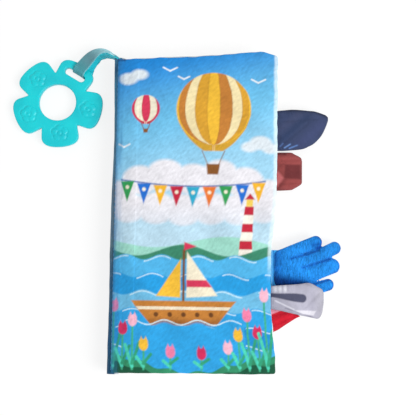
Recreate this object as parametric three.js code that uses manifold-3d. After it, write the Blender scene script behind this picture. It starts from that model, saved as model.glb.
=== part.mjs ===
import * as THREE from 'three';
import Module from 'manifold-3d';
import { mergeVertices } from 'three/addons/utils/BufferGeometryUtils.js';

// Soft cloth activity book for a baby, lying closed on its back cover.
// Two padded covers hold five padded leaves, all sewn into one side-stitched spine. Each leaf carries
// one cloth tail at the fore-edge, and a ribbon loop at the top of the spine holds a silicone teether.
// Millimetres. X runs from the spine to the fore-edge, Y up the cover and Z up from the table.
// The origin is the centre of the back cover's resting face.

const wasm = await Module();
wasm.setup();

const degree = Math.PI / 180;

// Book
const coverWidth = 120;
const coverHeight = 228;
const coverThickness = 3.6;
const leafThickness = 3;
const leafCount = 5;
const leafInset = 0.5;
const clothThickness = 0.5;
const filmThickness = 0.25;
const softGap = 0.3;

// Outline of a cover or leaf
const cornerRadius = 2.8;
const crownRun = 14;
const crownRowDepth = 4;
const crownColumnDepth = 7;
const foreEdgeRise = 1.8;
const topPeak = 4.7;
const topPeakInset = 14;
const topPeakStart = 16;
const topPeakLeftShare = 0.15;
const sideDraw = 3.9;
const sideDrawReach = 64;
const sideDrawFlat = 16;
const sideDrawCentreShare = 0.3;
const middleRowShares = [0.2, 0.3, 0.38, 0.48, 0.58];
const fillingCornerSteps = 2;

// Spine, where every cover and leaf turns about one line
const spineRadius = 4.5;
const spineClothThickness = 0.6;
const openCoverHeight = 9.5;
const frontRootAngle = 36;
const rootAngleStep = 19;
const bendReach = 18;
const bendSettle = 8;
const bendHandleShare = 0.75;
const bendCornerLimitShare = 0.6;
const rootCrownRun = 20;
const bendSteps = 4;
const rollSteps = 10;
const wrapStartAngle = 60;
const wrapEndAngle = 235;
const wrapFootSteps = 3;
const wrapFootRadius = 2.4;
const wrapFootReach = 11;
const wrapSideDrop = 8;

// Tails, each as long and wide as it stands out of its leaf
const tailPlyThickness = 0.5;
const greyTail = { length: 39.4, width: 15.9, low: -66.4, droop: 6.5 };
const navyTail = { length: 39, width: 29.2, low: 47.9, droop: 7 };
const russetTail = { length: 20.1, width: 28.2, low: 19.3, droop: 2.6 };
const redTail = { length: 22.4, width: 17.6, low: -84.4, droop: 1.6 };
const plushTail = { tabRun: 2.4, width: 26, low: -50.3, droop: 5.2 };
const plushThickness = 4.6;
const plushRound = 1.5;
const plushRoundSteps = 2;
const fingerTipSteps = 3;
const fingerSides = 10;
const plushPalm = { length: 26, upperFlare: 8.4, lowerFlare: 6.4 };
const plushFingers = [
  { rootX: 14.5, rootY: 18, tipX: 33.5, tipY: 35.4, radius: 4.5 },
  { rootX: 20.5, rootY: 15.6, tipX: 48.8, tipY: 31.6, radius: 4.6 },
  { rootX: 22.5, rootY: 7.6, tipX: 48.6, tipY: 16.6, radius: 5 },
  { rootX: 18.5, rootY: -4, tipX: 43.8, tipY: 2.4, radius: 4.4 },
];

// Teether
const teetherCentre = { x: -102, y: 83.4 };
const teetherRadius = 33.4;
const teetherThickness = 5.5;
const teetherEdgeRound = 1.6;
const teetherEdgeSteps = 3;
const teetherHoleRadius = 13.7;
const teetherHoleSides = 28;
const petalCount = 5;
const petalHalfWidth = 13.7;
const petalCorner = 7.5;
const petalCornerSteps = 4;
const notchRadius = 22;
const slotPetalAngle = 59.5;
const slotLength = 16.5;
const slotWidth = 5.3;
const slotEndSteps = 5;
const rimWidth = 6.6;
const embossRadius = 5.1;
const embossLobe = 1.1;
const embossLine = 1;
const embossHeight = 0.4;
const embossLobeSteps = 4;
const embossDotRadius = 1.1;
const embossDotSides = 8;
const embossPlace = 23.2;

// Ribbon loop
const ribbonWidth = 9;
const ribbonThickness = 0.6;
const ribbonClearance = 0.35;
const ribbonPlyGap = 0.6;
const ribbonFloorGap = 0.05;
const ribbonTopShift = -1.5;
const ribbonBottomShift = -5.8;
const ribbonShiftPower = 4;
const ribbonTwistPower = 0.72;
const ribbonRunSteps = 16;
const ribbonWrapSteps = 8;
const upperRun = { rimHandle: 9, rootHandle: 22.6, rootLean: 43.4, lift: 5, rimSkew: 22 };
const lowerRun = { rimHandle: 20.2, rootHandle: 8.8, rootLean: 58.9, lift: 1.5, rimSkew: -11.7 };

// Sizes worked out from the ones above
const seamThickness = 2 * clothThickness + softGap;
const stackCount = leafCount + 2;
const bookThickness = 2 * coverThickness + leafCount * leafThickness + (leafCount + 1) * softGap;
const spineX = -coverWidth / 2;
const axisX = spineX + spineRadius;
const axisZ = (bookThickness + openCoverHeight) / 2;
const rootRadius = spineRadius + softGap;
const rimHalfWidth = rimWidth / 2;
const rimReach = teetherEdgeRound
  + Math.hypot(rimHalfWidth - teetherEdgeRound, teetherThickness / 2 - teetherEdgeRound);
const ribbonWrapRadius = rimReach + ribbonClearance + ribbonThickness / 2;
const rimZ = ribbonWrapRadius + ribbonThickness / 2 + ribbonFloorGap;
const rimDistance = teetherRadius - rimHalfWidth;

const clothRoughness = 0.9;
const filmRoughness = 0.4;
const siliconeRoughness = 0.45;
const ribbonRoughness = 0.7;
const colours = {
  coverPrint: 0x5fb4e6,
  coverLining: 0xd8e6ee,
  leafPrint: 0xcfe3c4,
  leafBack: 0xf3ddb0,
  wadding: 0xf2f2ee,
  film: 0xdfe8ea,
  spine: 0x2a5f8c,
  margin: 0xc9d3da,
  grey: 0x9ea0b6,
  navy: 0x344161,
  russet: 0x7a3436,
  red: 0xe62341,
  blue: 0x2496e2,
  tab: 0x35b6d8,
  ribbon: 0x2fb3c4,
  silicone: 0x3ed5dc,
};

const book = new THREE.Group();

// Adds one named piece in its own cloth, film or silicone finish
function addPiece(name, geometry, colour, roughness = clothRoughness) {
  const material = new THREE.MeshStandardMaterial({ color: colour, roughness, metalness: 0 });
  const mesh = new THREE.Mesh(geometry, material);
  mesh.name = name;
  book.add(mesh);
  return mesh;
}

// Closed solid between an upper and a lower grid of points, with walls round the four sides
function solidBetween(columnCount, rowCount, upper, lower) {
  const positions = [];
  for (const place of [upper, lower]) {
    for (let i = 0; i < columnCount; i++) {
      for (let j = 0; j < rowCount; j++) {
        const point = place(i, j);
        positions.push(point.x, point.y, point.z);
      }
    }
  }
  const below = columnCount * rowCount;
  const at = (i, j) => i * rowCount + j;
  const faces = [];
  const quad = (a, b, c, d) => faces.push(a, b, c, a, c, d);
  for (let i = 0; i + 1 < columnCount; i++) {
    for (let j = 0; j + 1 < rowCount; j++) {
      quad(at(i, j), at(i + 1, j), at(i + 1, j + 1), at(i, j + 1));
      quad(below + at(i, j), below + at(i, j + 1), below + at(i + 1, j + 1), below + at(i + 1, j));
    }
  }
  const wall = (a, b) => quad(a, below + a, below + b, b);
  for (let i = 0; i + 1 < columnCount; i++) {
    wall(at(i, 0), at(i + 1, 0));
    wall(at(i + 1, rowCount - 1), at(i, rowCount - 1));
  }
  for (let j = 0; j + 1 < rowCount; j++) {
    wall(at(columnCount - 1, j), at(columnCount - 1, j + 1));
    wall(at(0, j + 1), at(0, j));
  }
  const geometry = new THREE.BufferGeometry();
  geometry.setAttribute('position', new THREE.Float32BufferAttribute(positions, 3));
  geometry.setIndex(faces);
  return geometry;
}

function toManifold(geometry) {
  const bare = geometry.clone();
  bare.deleteAttribute('normal');
  bare.deleteAttribute('uv');
  const merged = mergeVertices(bare);
  return new wasm.Manifold(new wasm.Mesh({
    numProp: 3,
    vertProperties: new Float32Array(merged.attributes.position.array),
    triVerts: new Uint32Array(merged.index.array),
  }));
}

function toGeometry(solid) {
  const mesh = solid.getMesh();
  const geometry = new THREE.BufferGeometry();
  geometry.setAttribute('position', new THREE.BufferAttribute(new Float32Array(mesh.vertProperties), 3));
  geometry.setIndex(new THREE.BufferAttribute(new Uint32Array(mesh.triVerts), 1));
  return geometry;
}

// Cloth fullness, 0 at a seam and 1 where the pad has its whole thickness
function fullness(distance, run) {
  const left = 1 - Math.min(distance / run, 1);
  return 1 - left * left;
}

// How far the fore-edge is drawn in at a height on the cover
function drawnIn(y) {
  const centre = (sideDrawCentreShare - 0.5) * coverHeight;
  const left = (sideDrawReach - Math.abs(y - centre)) / (sideDrawReach - sideDrawFlat);
  return sideDraw * Math.min(Math.max(left, 0), 1);
}

// How far the top edge stands above a straight cut at a distance from the spine
function topRise(x) {
  const peakX = coverWidth / 2 - topPeakInset;
  const startX = spineX + topPeakStart;
  if (x <= startX) return 0;
  if (x <= peakX) return topPeak * (x - startX) / (peakX - startX);
  const left = 1 - (x - peakX) / topPeakInset;
  return topPeak * (topPeakLeftShare + (1 - topPeakLeftShare) * left);
}

// The stack from the table up: back cover, leaves five to one, front cover
function stackPlace(index) {
  const isCover = index === 0 || index === stackCount - 1;
  const thickness = isCover ? coverThickness : leafThickness;
  const leavesBelow = Math.max(index - 1, 0);
  const below = index === 0 ? 0 : coverThickness + leavesBelow * leafThickness + index * softGap;
  return { thickness, inset: isCover ? 0 : leafInset, middle: below + thickness / 2 };
}

// Columns of one pad from its root on the spine round the bend to the fore-edge
function padColumns(index) {
  const { inset, middle } = stackPlace(index);
  const rise = middle - axisZ;
  const angle = (frontRootAngle - (stackCount - 1 - index) * rootAngleStep) * degree;
  const direction = new THREE.Vector2(Math.cos(angle), Math.sin(angle));
  const root = direction.clone().multiplyScalar(rootRadius);
  const cornerRun = (rise - root.y) / direction.y;
  const cornerX = root.x + cornerRun * direction.x;
  const meets = cornerRun > 0 && cornerX < bendReach * bendCornerLimitShare;
  const corner = new THREE.Vector2(meets ? cornerX : bendReach * bendCornerLimitShare, rise);
  const end = new THREE.Vector2(bendReach, rise);
  const rootHandle = root.clone().addScaledVector(direction, bendHandleShare * root.distanceTo(corner));
  const endHandle = end.clone().lerp(corner, bendHandleShare);
  const curve = new THREE.CubicBezierCurve(root, rootHandle, endHandle, end);
  const columns = [];
  for (let i = 0; i <= bendSteps; i++) {
    const share = i / bendSteps;
    const point = curve.getPointAt(share);
    const along = curve.getTangentAt(share);
    const fromRoot = share * curve.getLength();
    columns.push({ x: axisX + point.x, z: axisZ + point.y, nx: -along.y, nz: along.x, fromRoot, drop: 0 });
  }
  const foreEdge = coverWidth / 2 - inset;
  const flatColumn = (x, drop) => {
    const fromRoot = curve.getLength() + x - axisX - bendReach;
    columns.push({ x, z: middle, nx: 0, nz: 1, fromRoot, drop });
  };
  flatColumn(axisX + bendReach + bendSettle, 0);
  flatColumn(foreEdge - crownRun, 0);
  flatColumn(foreEdge - crownColumnDepth, 0);
  flatColumn(foreEdge - cornerRadius, 0);
  const half = Math.SQRT1_2;
  flatColumn(foreEdge - cornerRadius * (1 - half), cornerRadius * (1 - half));
  flatColumn(foreEdge, cornerRadius);
  return columns;
}

// Lowest and highest Y of a pad's outline at one column
function columnEnds(column, inset) {
  const slope = foreEdgeRise * (column.x - spineX) / coverWidth;
  const low = -coverHeight / 2 + inset + slope + column.drop;
  const high = coverHeight / 2 - inset + slope + topRise(column.x) - column.drop;
  return { low, high };
}

// Rows of one pad across a column, with their distance from the nearest end
function padRows(column, inset) {
  const { low, high } = columnEnds(column, inset);
  const depths = [0, crownRowDepth, crownRun];
  const lower = depths.map((depth) => ({ y: low + depth, depth }));
  const upper = depths.map((depth) => ({ y: high - depth, depth })).reverse();
  const span = high - low;
  const middle = middleRowShares.map((share) => ({ y: low + share * span, depth: crownRun }));
  return [...lower, ...middle, ...upper];
}

// One panel of a pad: side 1 is the upper panel and -1 the lower one
function padPanel(index, side) {
  const { thickness, inset } = stackPlace(index);
  const columns = padColumns(index);
  const rows = columns.map((column) => padRows(column, inset));
  const foreEdge = coverWidth / 2 - inset;
  const place = (i, j, inner) => {
    const column = columns[i];
    const row = rows[i][j];
    const full = fullness(column.fromRoot, rootCrownRun) * fullness(foreEdge - column.x, crownRun)
      * fullness(row.depth, crownRun);
    const half = (seamThickness + (thickness - seamThickness) * full) / 2;
    const offset = side * (inner ? half - clothThickness : half);
    const pull = drawnIn(row.y) * Math.max(0, (column.x - spineX) / coverWidth);
    return new THREE.Vector3(column.x - pull + column.nx * offset, row.y, column.z + column.nz * offset);
  };
  const upper = (i, j) => place(i, j, side < 0);
  const lower = (i, j) => place(i, j, side > 0);
  return solidBetween(columns.length, rows[0].length, upper, lower);
}

// Flat sheet inside a pad, from one height up, clear of the seams all round
function padFilling(index, bottom, thickness) {
  const { inset } = stackPlace(index);
  const left = axisX + bendReach + bendSettle;
  const right = coverWidth / 2 - inset - crownRun - sideDraw;
  const half = coverHeight / 2 - inset - crownRun;
  const outline = new THREE.Shape();
  const low = -half + foreEdgeRise;
  outline.moveTo(left, low + cornerRadius);
  outline.quadraticCurveTo(left, low, left + cornerRadius, low);
  outline.lineTo(right - cornerRadius, low);
  outline.quadraticCurveTo(right, low, right, low + cornerRadius);
  outline.lineTo(right, half - cornerRadius);
  outline.quadraticCurveTo(right, half, right - cornerRadius, half);
  outline.lineTo(left + cornerRadius, half);
  outline.quadraticCurveTo(left, half, left, half - cornerRadius);
  outline.closePath();
  const geometry = new THREE.ExtrudeGeometry(outline, {
    depth: thickness, bevelEnabled: false, curveSegments: fillingCornerSteps,
  });
  geometry.translate(0, 0, bottom);
  return geometry;
}

// A cover or leaf: two cloth panels, with crinkle film and wadding between them
function addPad(index, name, panels) {
  const { thickness, middle } = stackPlace(index);
  const floor = middle - thickness / 2 + clothThickness + softGap;
  const ceiling = middle + thickness / 2 - clothThickness - softGap;
  const waddingThickness = ceiling - floor - filmThickness - softGap;
  addPiece(`${name}_${panels.upper.name}`, padPanel(index, 1), panels.upper.colour);
  addPiece(`${name}_${panels.lower.name}`, padPanel(index, -1), panels.lower.colour);
  addPiece(`${name}_wadding`, padFilling(index, floor, waddingThickness), colours.wadding);
  const film = padFilling(index, ceiling - filmThickness, filmThickness);
  addPiece(`${name}_film`, film, colours.film, filmRoughness);
}

// Extrudes a closed outline in the XZ plane along the whole spine
function alongSpine(points) {
  const shape = new THREE.Shape(points.map((p) => new THREE.Vector2(p.x, p.y)));
  const geometry = new THREE.ExtrudeGeometry(shape, { depth: coverHeight, bevelEnabled: false });
  geometry.rotateX(Math.PI / 2);
  geometry.translate(0, coverHeight / 2, 0);
  return geometry;
}

function onSpine(radius, angle) {
  const turn = angle * degree;
  return new THREE.Vector2(axisX + radius * Math.cos(turn), axisZ + radius * Math.sin(turn));
}

// The sewn margin: every root's inner edge rolled into one cord, thinner where the spine cloth covers it
function addSpineMargin() {
  const points = [];
  const coveredRadius = spineRadius - spineClothThickness - softGap;
  const coveredSpan = wrapEndAngle - wrapStartAngle;
  for (let i = 0; i <= rollSteps; i++) {
    points.push(onSpine(coveredRadius, wrapStartAngle + coveredSpan * i / rollSteps));
  }
  const openSpan = 360 - coveredSpan;
  const margin = softGap / spineRadius / degree;
  for (let i = 0; i <= rollSteps; i++) {
    points.push(onSpine(spineRadius, wrapEndAngle + margin + (openSpan - 2 * margin) * i / rollSteps));
  }
  addPiece('spine_margin', alongSpine(points), colours.margin);
}

// The spine cloth: over the roll, down the side to the table and under the back cover's bend
function addSpineWrap() {
  const outer = [];
  const inner = [];
  const innerRadius = spineRadius - spineClothThickness;
  for (let i = 0; i <= rollSteps; i++) {
    const angle = wrapStartAngle + (wrapEndAngle - wrapStartAngle) * i / rollSteps;
    outer.push(onSpine(spineRadius, angle));
    inner.push(onSpine(innerRadius, angle));
  }
  const footX = spineX + wrapFootRadius;
  outer.push(new THREE.Vector2(spineX, wrapSideDrop));
  inner.push(new THREE.Vector2(spineX + spineClothThickness, wrapSideDrop));
  for (let i = 0; i <= wrapFootSteps; i++) {
    const angle = Math.PI + Math.PI / 2 * i / wrapFootSteps;
    const cos = Math.cos(angle);
    const sin = Math.sin(angle);
    outer.push(new THREE.Vector2(footX + wrapFootRadius * cos, wrapFootRadius * (1 + sin)));
    const smaller = wrapFootRadius - spineClothThickness;
    inner.push(new THREE.Vector2(footX + smaller * cos, wrapFootRadius + smaller * sin));
  }
  outer.push(new THREE.Vector2(spineX + wrapFootReach, 0));
  inner.push(new THREE.Vector2(spineX + wrapFootReach, spineClothThickness));
  addPiece('spine_wrap', alongSpine([...outer, ...inner.reverse()]), colours.spine);
}

// Where a tail leaves its leaf's fore-edge
function tailRootX(index, y) {
  return coverWidth / 2 - stackPlace(index).inset - drawnIn(y) + softGap;
}

// Fall of a tail under its own weight at a distance from its root
function droopAt(tail, reach, distance) {
  const share = Math.max(0, distance) / reach;
  return tail.droop * share * share;
}

// Flat tail outlines as shares of length and width: along, lower edge, upper edge
const greyShares = [
  [0, 0, 1], [0.35, -0.18, 1.08], [0.55, -0.28, 1.15], [0.7, -0.34, 1.18],
  [0.9, -0.41, 1.02], [0.96, -0.2, 0.96], [1, 0.28, 0.72],
];
const navyShares = [
  [0, 0, 1], [0.35, 0.03, 1.03], [0.5, 0.08, 1.03], [0.63, 0.15, 1],
  [0.8, 0.3, 0.95], [0.93, 0.58, 0.91], [1, 0.74, 0.86],
];
const russetShares = [[0, 0, 1], [0.56, 0.01, 1], [0.7, 0.03, 0.97], [0.96, 0.16, 0.87], [1, 0.24, 0.8]];
const redShares = [[0, 0, 1], [0.3, 0.14, 1.04], [0.65, 0.42, 0.94], [0.92, 0.66, 0.86], [1, 0.74, 0.82]];

// One ply of a flat tail: side 1 is the face and -1 the backing
function tailPly(index, tail, shares, side) {
  const { middle } = stackPlace(index);
  const inner = softGap / 2;
  const place = (i, j, offset) => {
    const [along, low, high] = shares[i];
    const y = tail.low + tail.width * (j === 0 ? low : high);
    const root = tailRootX(index, y);
    const x = root + along * tail.length;
    const fall = droopAt(tail, tail.length, along * tail.length);
    return new THREE.Vector3(x, y, middle + offset - fall);
  };
  const near = side * inner;
  const far = side * (inner + tailPlyThickness);
  const upper = (i, j) => place(i, j, Math.max(near, far));
  const lower = (i, j) => place(i, j, Math.min(near, far));
  return solidBetween(shares.length, 2, upper, lower);
}

function addFlatTail(index, name, tail, shares, colour) {
  addPiece(`${name}_face`, tailPly(index, tail, shares, 1), colour);
  addPiece(`${name}_backing`, tailPly(index, tail, shares, -1), colour);
}

// Plush tail: a padded palm with four round-ended fingers, on a narrow cloth tab
function addPlushTail(index) {
  const { middle } = stackPlace(index);
  const halfTab = (2 * tailPlyThickness + softGap) / 2;
  const tabHigh = plushTail.low + plushTail.width;
  const tabEdge = (i, j) => {
    const y = j === 0 ? plushTail.low : tabHigh;
    return { x: tailRootX(index, y) + (i === 0 ? 0 : plushTail.tabRun), y };
  };
  const tabPoint = (i, j, z) => new THREE.Vector3(tabEdge(i, j).x, tabEdge(i, j).y, z);
  const tab = solidBetween(2, 2, (i, j) => tabPoint(i, j, middle + halfTab),
    (i, j) => tabPoint(i, j, middle - halfTab));
  addPiece('tail_3_plush_tab', tab, colours.tab);

  const startX = Math.max(tabEdge(1, 0).x, tabEdge(1, 1).x) + softGap;
  const palm = new THREE.Shape();
  palm.moveTo(startX + plushRound, plushTail.low + plushRound);
  palm.lineTo(startX + plushPalm.length, plushTail.low - plushPalm.lowerFlare + plushRound);
  palm.lineTo(startX + plushPalm.length, tabHigh + plushPalm.upperFlare - plushRound);
  palm.lineTo(startX + plushRound, tabHigh - plushRound);
  palm.closePath();
  const core = plushThickness - 2 * plushRound;
  const palmBody = new THREE.ExtrudeGeometry(palm, {
    depth: core, bevelThickness: plushRound, bevelSize: plushRound, bevelSegments: plushRoundSteps,
  });
  palmBody.translate(0, 0, -core / 2);
  let solid = toManifold(palmBody);
  for (const finger of plushFingers) {
    const run = Math.hypot(finger.tipX - finger.rootX, finger.tipY - finger.rootY);
    const body = new THREE.CapsuleGeometry(finger.radius, run - finger.radius, fingerTipSteps, fingerSides);
    body.rotateZ(Math.atan2(finger.tipY - finger.rootY, finger.tipX - finger.rootX) - Math.PI / 2);
    body.scale(1, 1, plushThickness / 2 / finger.radius);
    const reach = (run - finger.radius) / 2 / run;
    const middleX = finger.rootX + (finger.tipX - finger.rootX) * reach;
    const middleY = finger.rootY + (finger.tipY - finger.rootY) * reach;
    body.translate(startX + middleX, plushTail.low + middleY, 0);
    solid = solid.add(toManifold(body));
  }
  const geometry = toGeometry(solid);
  const reach = Math.max(...plushFingers.map((finger) => finger.tipX));
  const position = geometry.attributes.position;
  for (let i = 0; i < position.count; i++) {
    const fall = droopAt(plushTail, reach, position.getX(i) - startX);
    position.setZ(i, position.getZ(i) + middle - fall);
  }
  addPiece('tail_3_plush', geometry, colours.blue);
}

function circlePoints(radius, count, centre = { x: 0, y: 0 }) {
  const points = [];
  for (let i = 0; i < count; i++) {
    const angle = 2 * Math.PI * i / count;
    points.push(new THREE.Vector2(centre.x + radius * Math.cos(angle), centre.y + radius * Math.sin(angle)));
  }
  return points;
}

// Outline of one petal about the +X axis, from notch to notch
function petalPoints() {
  const notchAngle = Math.PI / petalCount;
  const notchX = notchRadius * Math.cos(notchAngle);
  const notchY = notchRadius * Math.sin(notchAngle);
  const shoulderX = teetherRadius - petalCorner;
  const brimAngle = Math.asin((petalHalfWidth - petalCorner) / teetherRadius);
  const brimX = teetherRadius * Math.cos(brimAngle);
  const brimY = teetherRadius * Math.sin(brimAngle);
  const tangentRun = (petalHalfWidth - brimY) / Math.cos(brimAngle);
  const cornerX = brimX - tangentRun * Math.sin(brimAngle);
  const corner = new THREE.QuadraticBezierCurve(
    new THREE.Vector2(shoulderX, -petalHalfWidth),
    new THREE.Vector2(cornerX, -petalHalfWidth),
    new THREE.Vector2(brimX, -brimY),
  ).getPoints(petalCornerSteps);
  const lower = [new THREE.Vector2(notchX, -notchY), ...corner];
  const upper = lower.slice(1).reverse().map((p) => new THREE.Vector2(p.x, -p.y));
  return [...lower, new THREE.Vector2(teetherRadius, 0), ...upper];
}

function turned(points, angle) {
  return points.map((p) => p.clone().rotateAround(new THREE.Vector2(0, 0), angle));
}

function slotPoints() {
  const radius = slotWidth / 2;
  const reach = slotLength / 2 - radius;
  const middle = teetherRadius - rimWidth - radius;
  const points = [];
  for (const end of [1, -1]) {
    for (let i = 0; i <= slotEndSteps; i++) {
      const angle = Math.PI * i / slotEndSteps;
      const across = end * (reach + radius * Math.sin(angle));
      points.push(new THREE.Vector2(middle + end * radius * Math.cos(angle), across));
    }
  }
  return points;
}

// Raised outline of a small five-lobed blossom, with a dot in its middle
function embossing() {
  const lobed = (radius) => {
    const points = [];
    const steps = embossLobeSteps * petalCount;
    for (let i = 0; i < steps; i++) {
      const angle = 2 * Math.PI * i / steps;
      const reach = radius + embossLobe * Math.cos(petalCount * angle);
      points.push(new THREE.Vector2(reach * Math.cos(angle), reach * Math.sin(angle)));
    }
    return points;
  };
  const ring = new THREE.Shape(lobed(embossRadius));
  ring.holes.push(new THREE.Path(lobed(embossRadius - embossLine)));
  const depth = embossHeight + teetherEdgeRound;
  const options = { depth, bevelEnabled: false };
  const raised = toManifold(new THREE.ExtrudeGeometry(ring, options));
  const dot = new THREE.Shape(circlePoints(embossDotRadius, embossDotSides));
  return raised.add(toManifold(new THREE.ExtrudeGeometry(dot, options)));
}

function addTeether() {
  const outline = new THREE.Shape();
  const points = [];
  const petalAngle = 2 * Math.PI / petalCount;
  for (let k = 0; k < petalCount; k++) points.push(...turned(petalPoints(), k * petalAngle));
  outline.setFromPoints(points);
  outline.holes.push(new THREE.Path(circlePoints(teetherHoleRadius, teetherHoleSides)));
  outline.holes.push(new THREE.Path(slotPoints()));
  const body = new THREE.ExtrudeGeometry(outline, {
    depth: teetherThickness - 2 * teetherEdgeRound,
    bevelThickness: teetherEdgeRound,
    bevelSize: teetherEdgeRound,
    bevelOffset: -teetherEdgeRound,
    bevelSegments: teetherEdgeSteps,
  });
  body.translate(0, 0, teetherEdgeRound - teetherThickness / 2);
  let solid = toManifold(body);
  for (let k = 1; k < petalCount; k++) {
    const angle = k * petalAngle;
    const blossom = embossing().translate([embossPlace, 0, teetherThickness / 2 - teetherEdgeRound]);
    solid = solid.add(blossom.rotate([0, 0, angle / degree]));
  }
  const mesh = addPiece('teether', toGeometry(solid), colours.silicone, siliconeRoughness);
  mesh.position.set(teetherCentre.x, teetherCentre.y, rimZ);
  mesh.rotation.z = slotPetalAngle * degree;
}

// Stations of the ribbon: a middle point and the direction across its width
function ribbonStations() {
  const out = new THREE.Vector3(Math.cos(slotPetalAngle * degree), Math.sin(slotPetalAngle * degree), 0);
  const across = new THREE.Vector3(-out.y, out.x, 0);
  const up = new THREE.Vector3(0, 0, 1);
  const rim = new THREE.Vector3(teetherCentre.x, teetherCentre.y, rimZ).addScaledVector(out, rimDistance);
  const plyStep = (ribbonThickness + ribbonPlyGap) / 2;
  const rootY = coverHeight / 2 + softGap;
  const wrapPoint = (angle, shift) => rim.clone()
    .addScaledVector(out, ribbonWrapRadius * Math.cos(angle))
    .addScaledVector(up, ribbonWrapRadius * Math.sin(angle))
    .addScaledVector(across, shift);
  const toRight = across.clone().negate();
  const half = Math.PI / 2;

  const run = (rimPoint, rootX, sizes) => {
    const root = new THREE.Vector3(rootX, rootY, axisZ);
    const skew = sizes.rimSkew * degree;
    const rimDirection = out.clone().multiplyScalar(Math.cos(skew)).addScaledVector(toRight, Math.sin(skew));
    const lean = sizes.rootLean * degree;
    const rootDirection = new THREE.Vector3(-Math.sin(lean), Math.cos(lean), 0);
    const rimHandle = rimPoint.clone().addScaledVector(rimDirection, sizes.rimHandle);
    rimHandle.z += sizes.lift;
    const rootHandle = root.clone().addScaledVector(rootDirection, sizes.rootHandle);
    return new THREE.CubicBezierCurve3(rimPoint, rimHandle, rootHandle, root);
  };
  const stations = [];
  const smooth = (share) => share * share * (3 - 2 * share);
  const addRun = (curve, fromRoot, edgeAtRoot) => {
    for (let i = 0; i <= ribbonRunSteps; i++) {
      const share = fromRoot ? 1 - i / ribbonRunSteps : i / ribbonRunSteps;
      const turn = half * smooth(share ** ribbonTwistPower);
      const along = curve.getTangentAt(share);
      const level = along.clone().cross(up).normalize();
      const upright = level.clone().cross(along).multiplyScalar(edgeAtRoot);
      const width = level.multiplyScalar(Math.cos(turn)).addScaledVector(upright, Math.sin(turn));
      stations.push({ point: curve.getPointAt(share), width });
    }
  };
  const upper = run(wrapPoint(half, ribbonTopShift), axisX + plyStep, upperRun);
  addRun(upper, true, 1);
  for (let i = 1; i < ribbonWrapSteps; i++) {
    const share = i / ribbonWrapSteps;
    const shift = ribbonTopShift + (ribbonBottomShift - ribbonTopShift) * share ** ribbonShiftPower;
    stations.push({ point: wrapPoint(half + Math.PI * share, shift), width: toRight.clone() });
  }
  const lower = run(wrapPoint(3 * half, ribbonBottomShift), axisX - plyStep, lowerRun);
  addRun(lower, false, -1);
  return stations;
}

// The ribbon: one flat tape from the spine round the teether's rim and back, square at both ends
function addRibbon() {
  const stations = ribbonStations();
  const corner = (i, j, side) => {
    const before = stations[Math.max(i - 1, 0)].point;
    const after = stations[Math.min(i + 1, stations.length - 1)].point;
    const along = after.clone().sub(before).normalize();
    const ends = i === 0 || i === stations.length - 1;
    if (ends) along.set(0, i === 0 ? 1 : -1, 0);
    const width = stations[i].width.clone();
    width.addScaledVector(along, -width.dot(along)).normalize();
    const normal = new THREE.Vector3().crossVectors(along, width);
    return stations[i].point.clone()
      .addScaledVector(width, (j === 0 ? -1 : 1) * ribbonWidth / 2)
      .addScaledVector(normal, side * ribbonThickness / 2);
  };
  const geometry = solidBetween(stations.length, 2, (i, j) => corner(i, j, 1), (i, j) => corner(i, j, -1));
  addPiece('ribbon_loop', geometry, colours.ribbon, ribbonRoughness);
}

addPad(0, 'back_cover', {
  upper: { name: 'lining', colour: colours.coverLining },
  lower: { name: 'outer', colour: colours.coverPrint },
});
for (let leaf = leafCount; leaf >= 1; leaf--) {
  addPad(leafCount + 1 - leaf, `leaf_${leaf}`, {
    upper: { name: 'front', colour: colours.leafPrint },
    lower: { name: 'back', colour: colours.leafBack },
  });
}
addPad(stackCount - 1, 'front_cover', {
  upper: { name: 'outer', colour: colours.coverPrint },
  lower: { name: 'lining', colour: colours.coverLining },
});
addSpineMargin();
addSpineWrap();

const stackOfLeaf = (leaf) => leafCount + 1 - leaf;
addFlatTail(stackOfLeaf(1), 'tail_1_grey', greyTail, greyShares, colours.grey);
addFlatTail(stackOfLeaf(2), 'tail_2_navy', navyTail, navyShares, colours.navy);
addPlushTail(stackOfLeaf(3));
addFlatTail(stackOfLeaf(4), 'tail_4_russet', russetTail, russetShares, colours.russet);
addFlatTail(stackOfLeaf(5), 'tail_5_red', redTail, redShares, colours.red);
addTeether();
addRibbon();

export default book;
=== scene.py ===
"""A soft cloth activity book for a baby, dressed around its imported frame.

Two padded covers and five padded leaves are sewn into one spine roll. Each leaf carries a cloth tail at the
fore-edge, and a ribbon at the top of the spine holds a silicone teether. Sizes are in millimetres and turn
into metres where a mesh is made. X runs from the spine to the fore-edge, Y up the cover and Z off the table.
"""

import logging
import math
from dataclasses import dataclass
from typing import Callable

import bpy
import numpy as np
from mathutils import Matrix, Vector


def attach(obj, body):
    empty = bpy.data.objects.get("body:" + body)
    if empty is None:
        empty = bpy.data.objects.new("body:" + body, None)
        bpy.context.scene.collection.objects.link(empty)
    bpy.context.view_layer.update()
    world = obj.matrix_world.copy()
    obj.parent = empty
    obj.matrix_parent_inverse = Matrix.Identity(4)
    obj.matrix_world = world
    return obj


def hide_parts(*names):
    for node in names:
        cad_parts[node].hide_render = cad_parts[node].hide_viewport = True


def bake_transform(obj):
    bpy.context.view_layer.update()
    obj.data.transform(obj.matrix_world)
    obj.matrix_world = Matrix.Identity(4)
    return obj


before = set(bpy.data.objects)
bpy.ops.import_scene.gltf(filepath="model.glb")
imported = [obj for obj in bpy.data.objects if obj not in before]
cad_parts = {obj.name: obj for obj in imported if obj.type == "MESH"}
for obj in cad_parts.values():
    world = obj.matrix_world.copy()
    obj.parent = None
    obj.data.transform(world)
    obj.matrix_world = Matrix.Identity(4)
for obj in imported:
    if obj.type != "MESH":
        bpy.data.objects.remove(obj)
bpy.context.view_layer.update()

LOG = logging.getLogger("cloth_book")
MM = 0.001
TAU = 2 * math.pi
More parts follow.
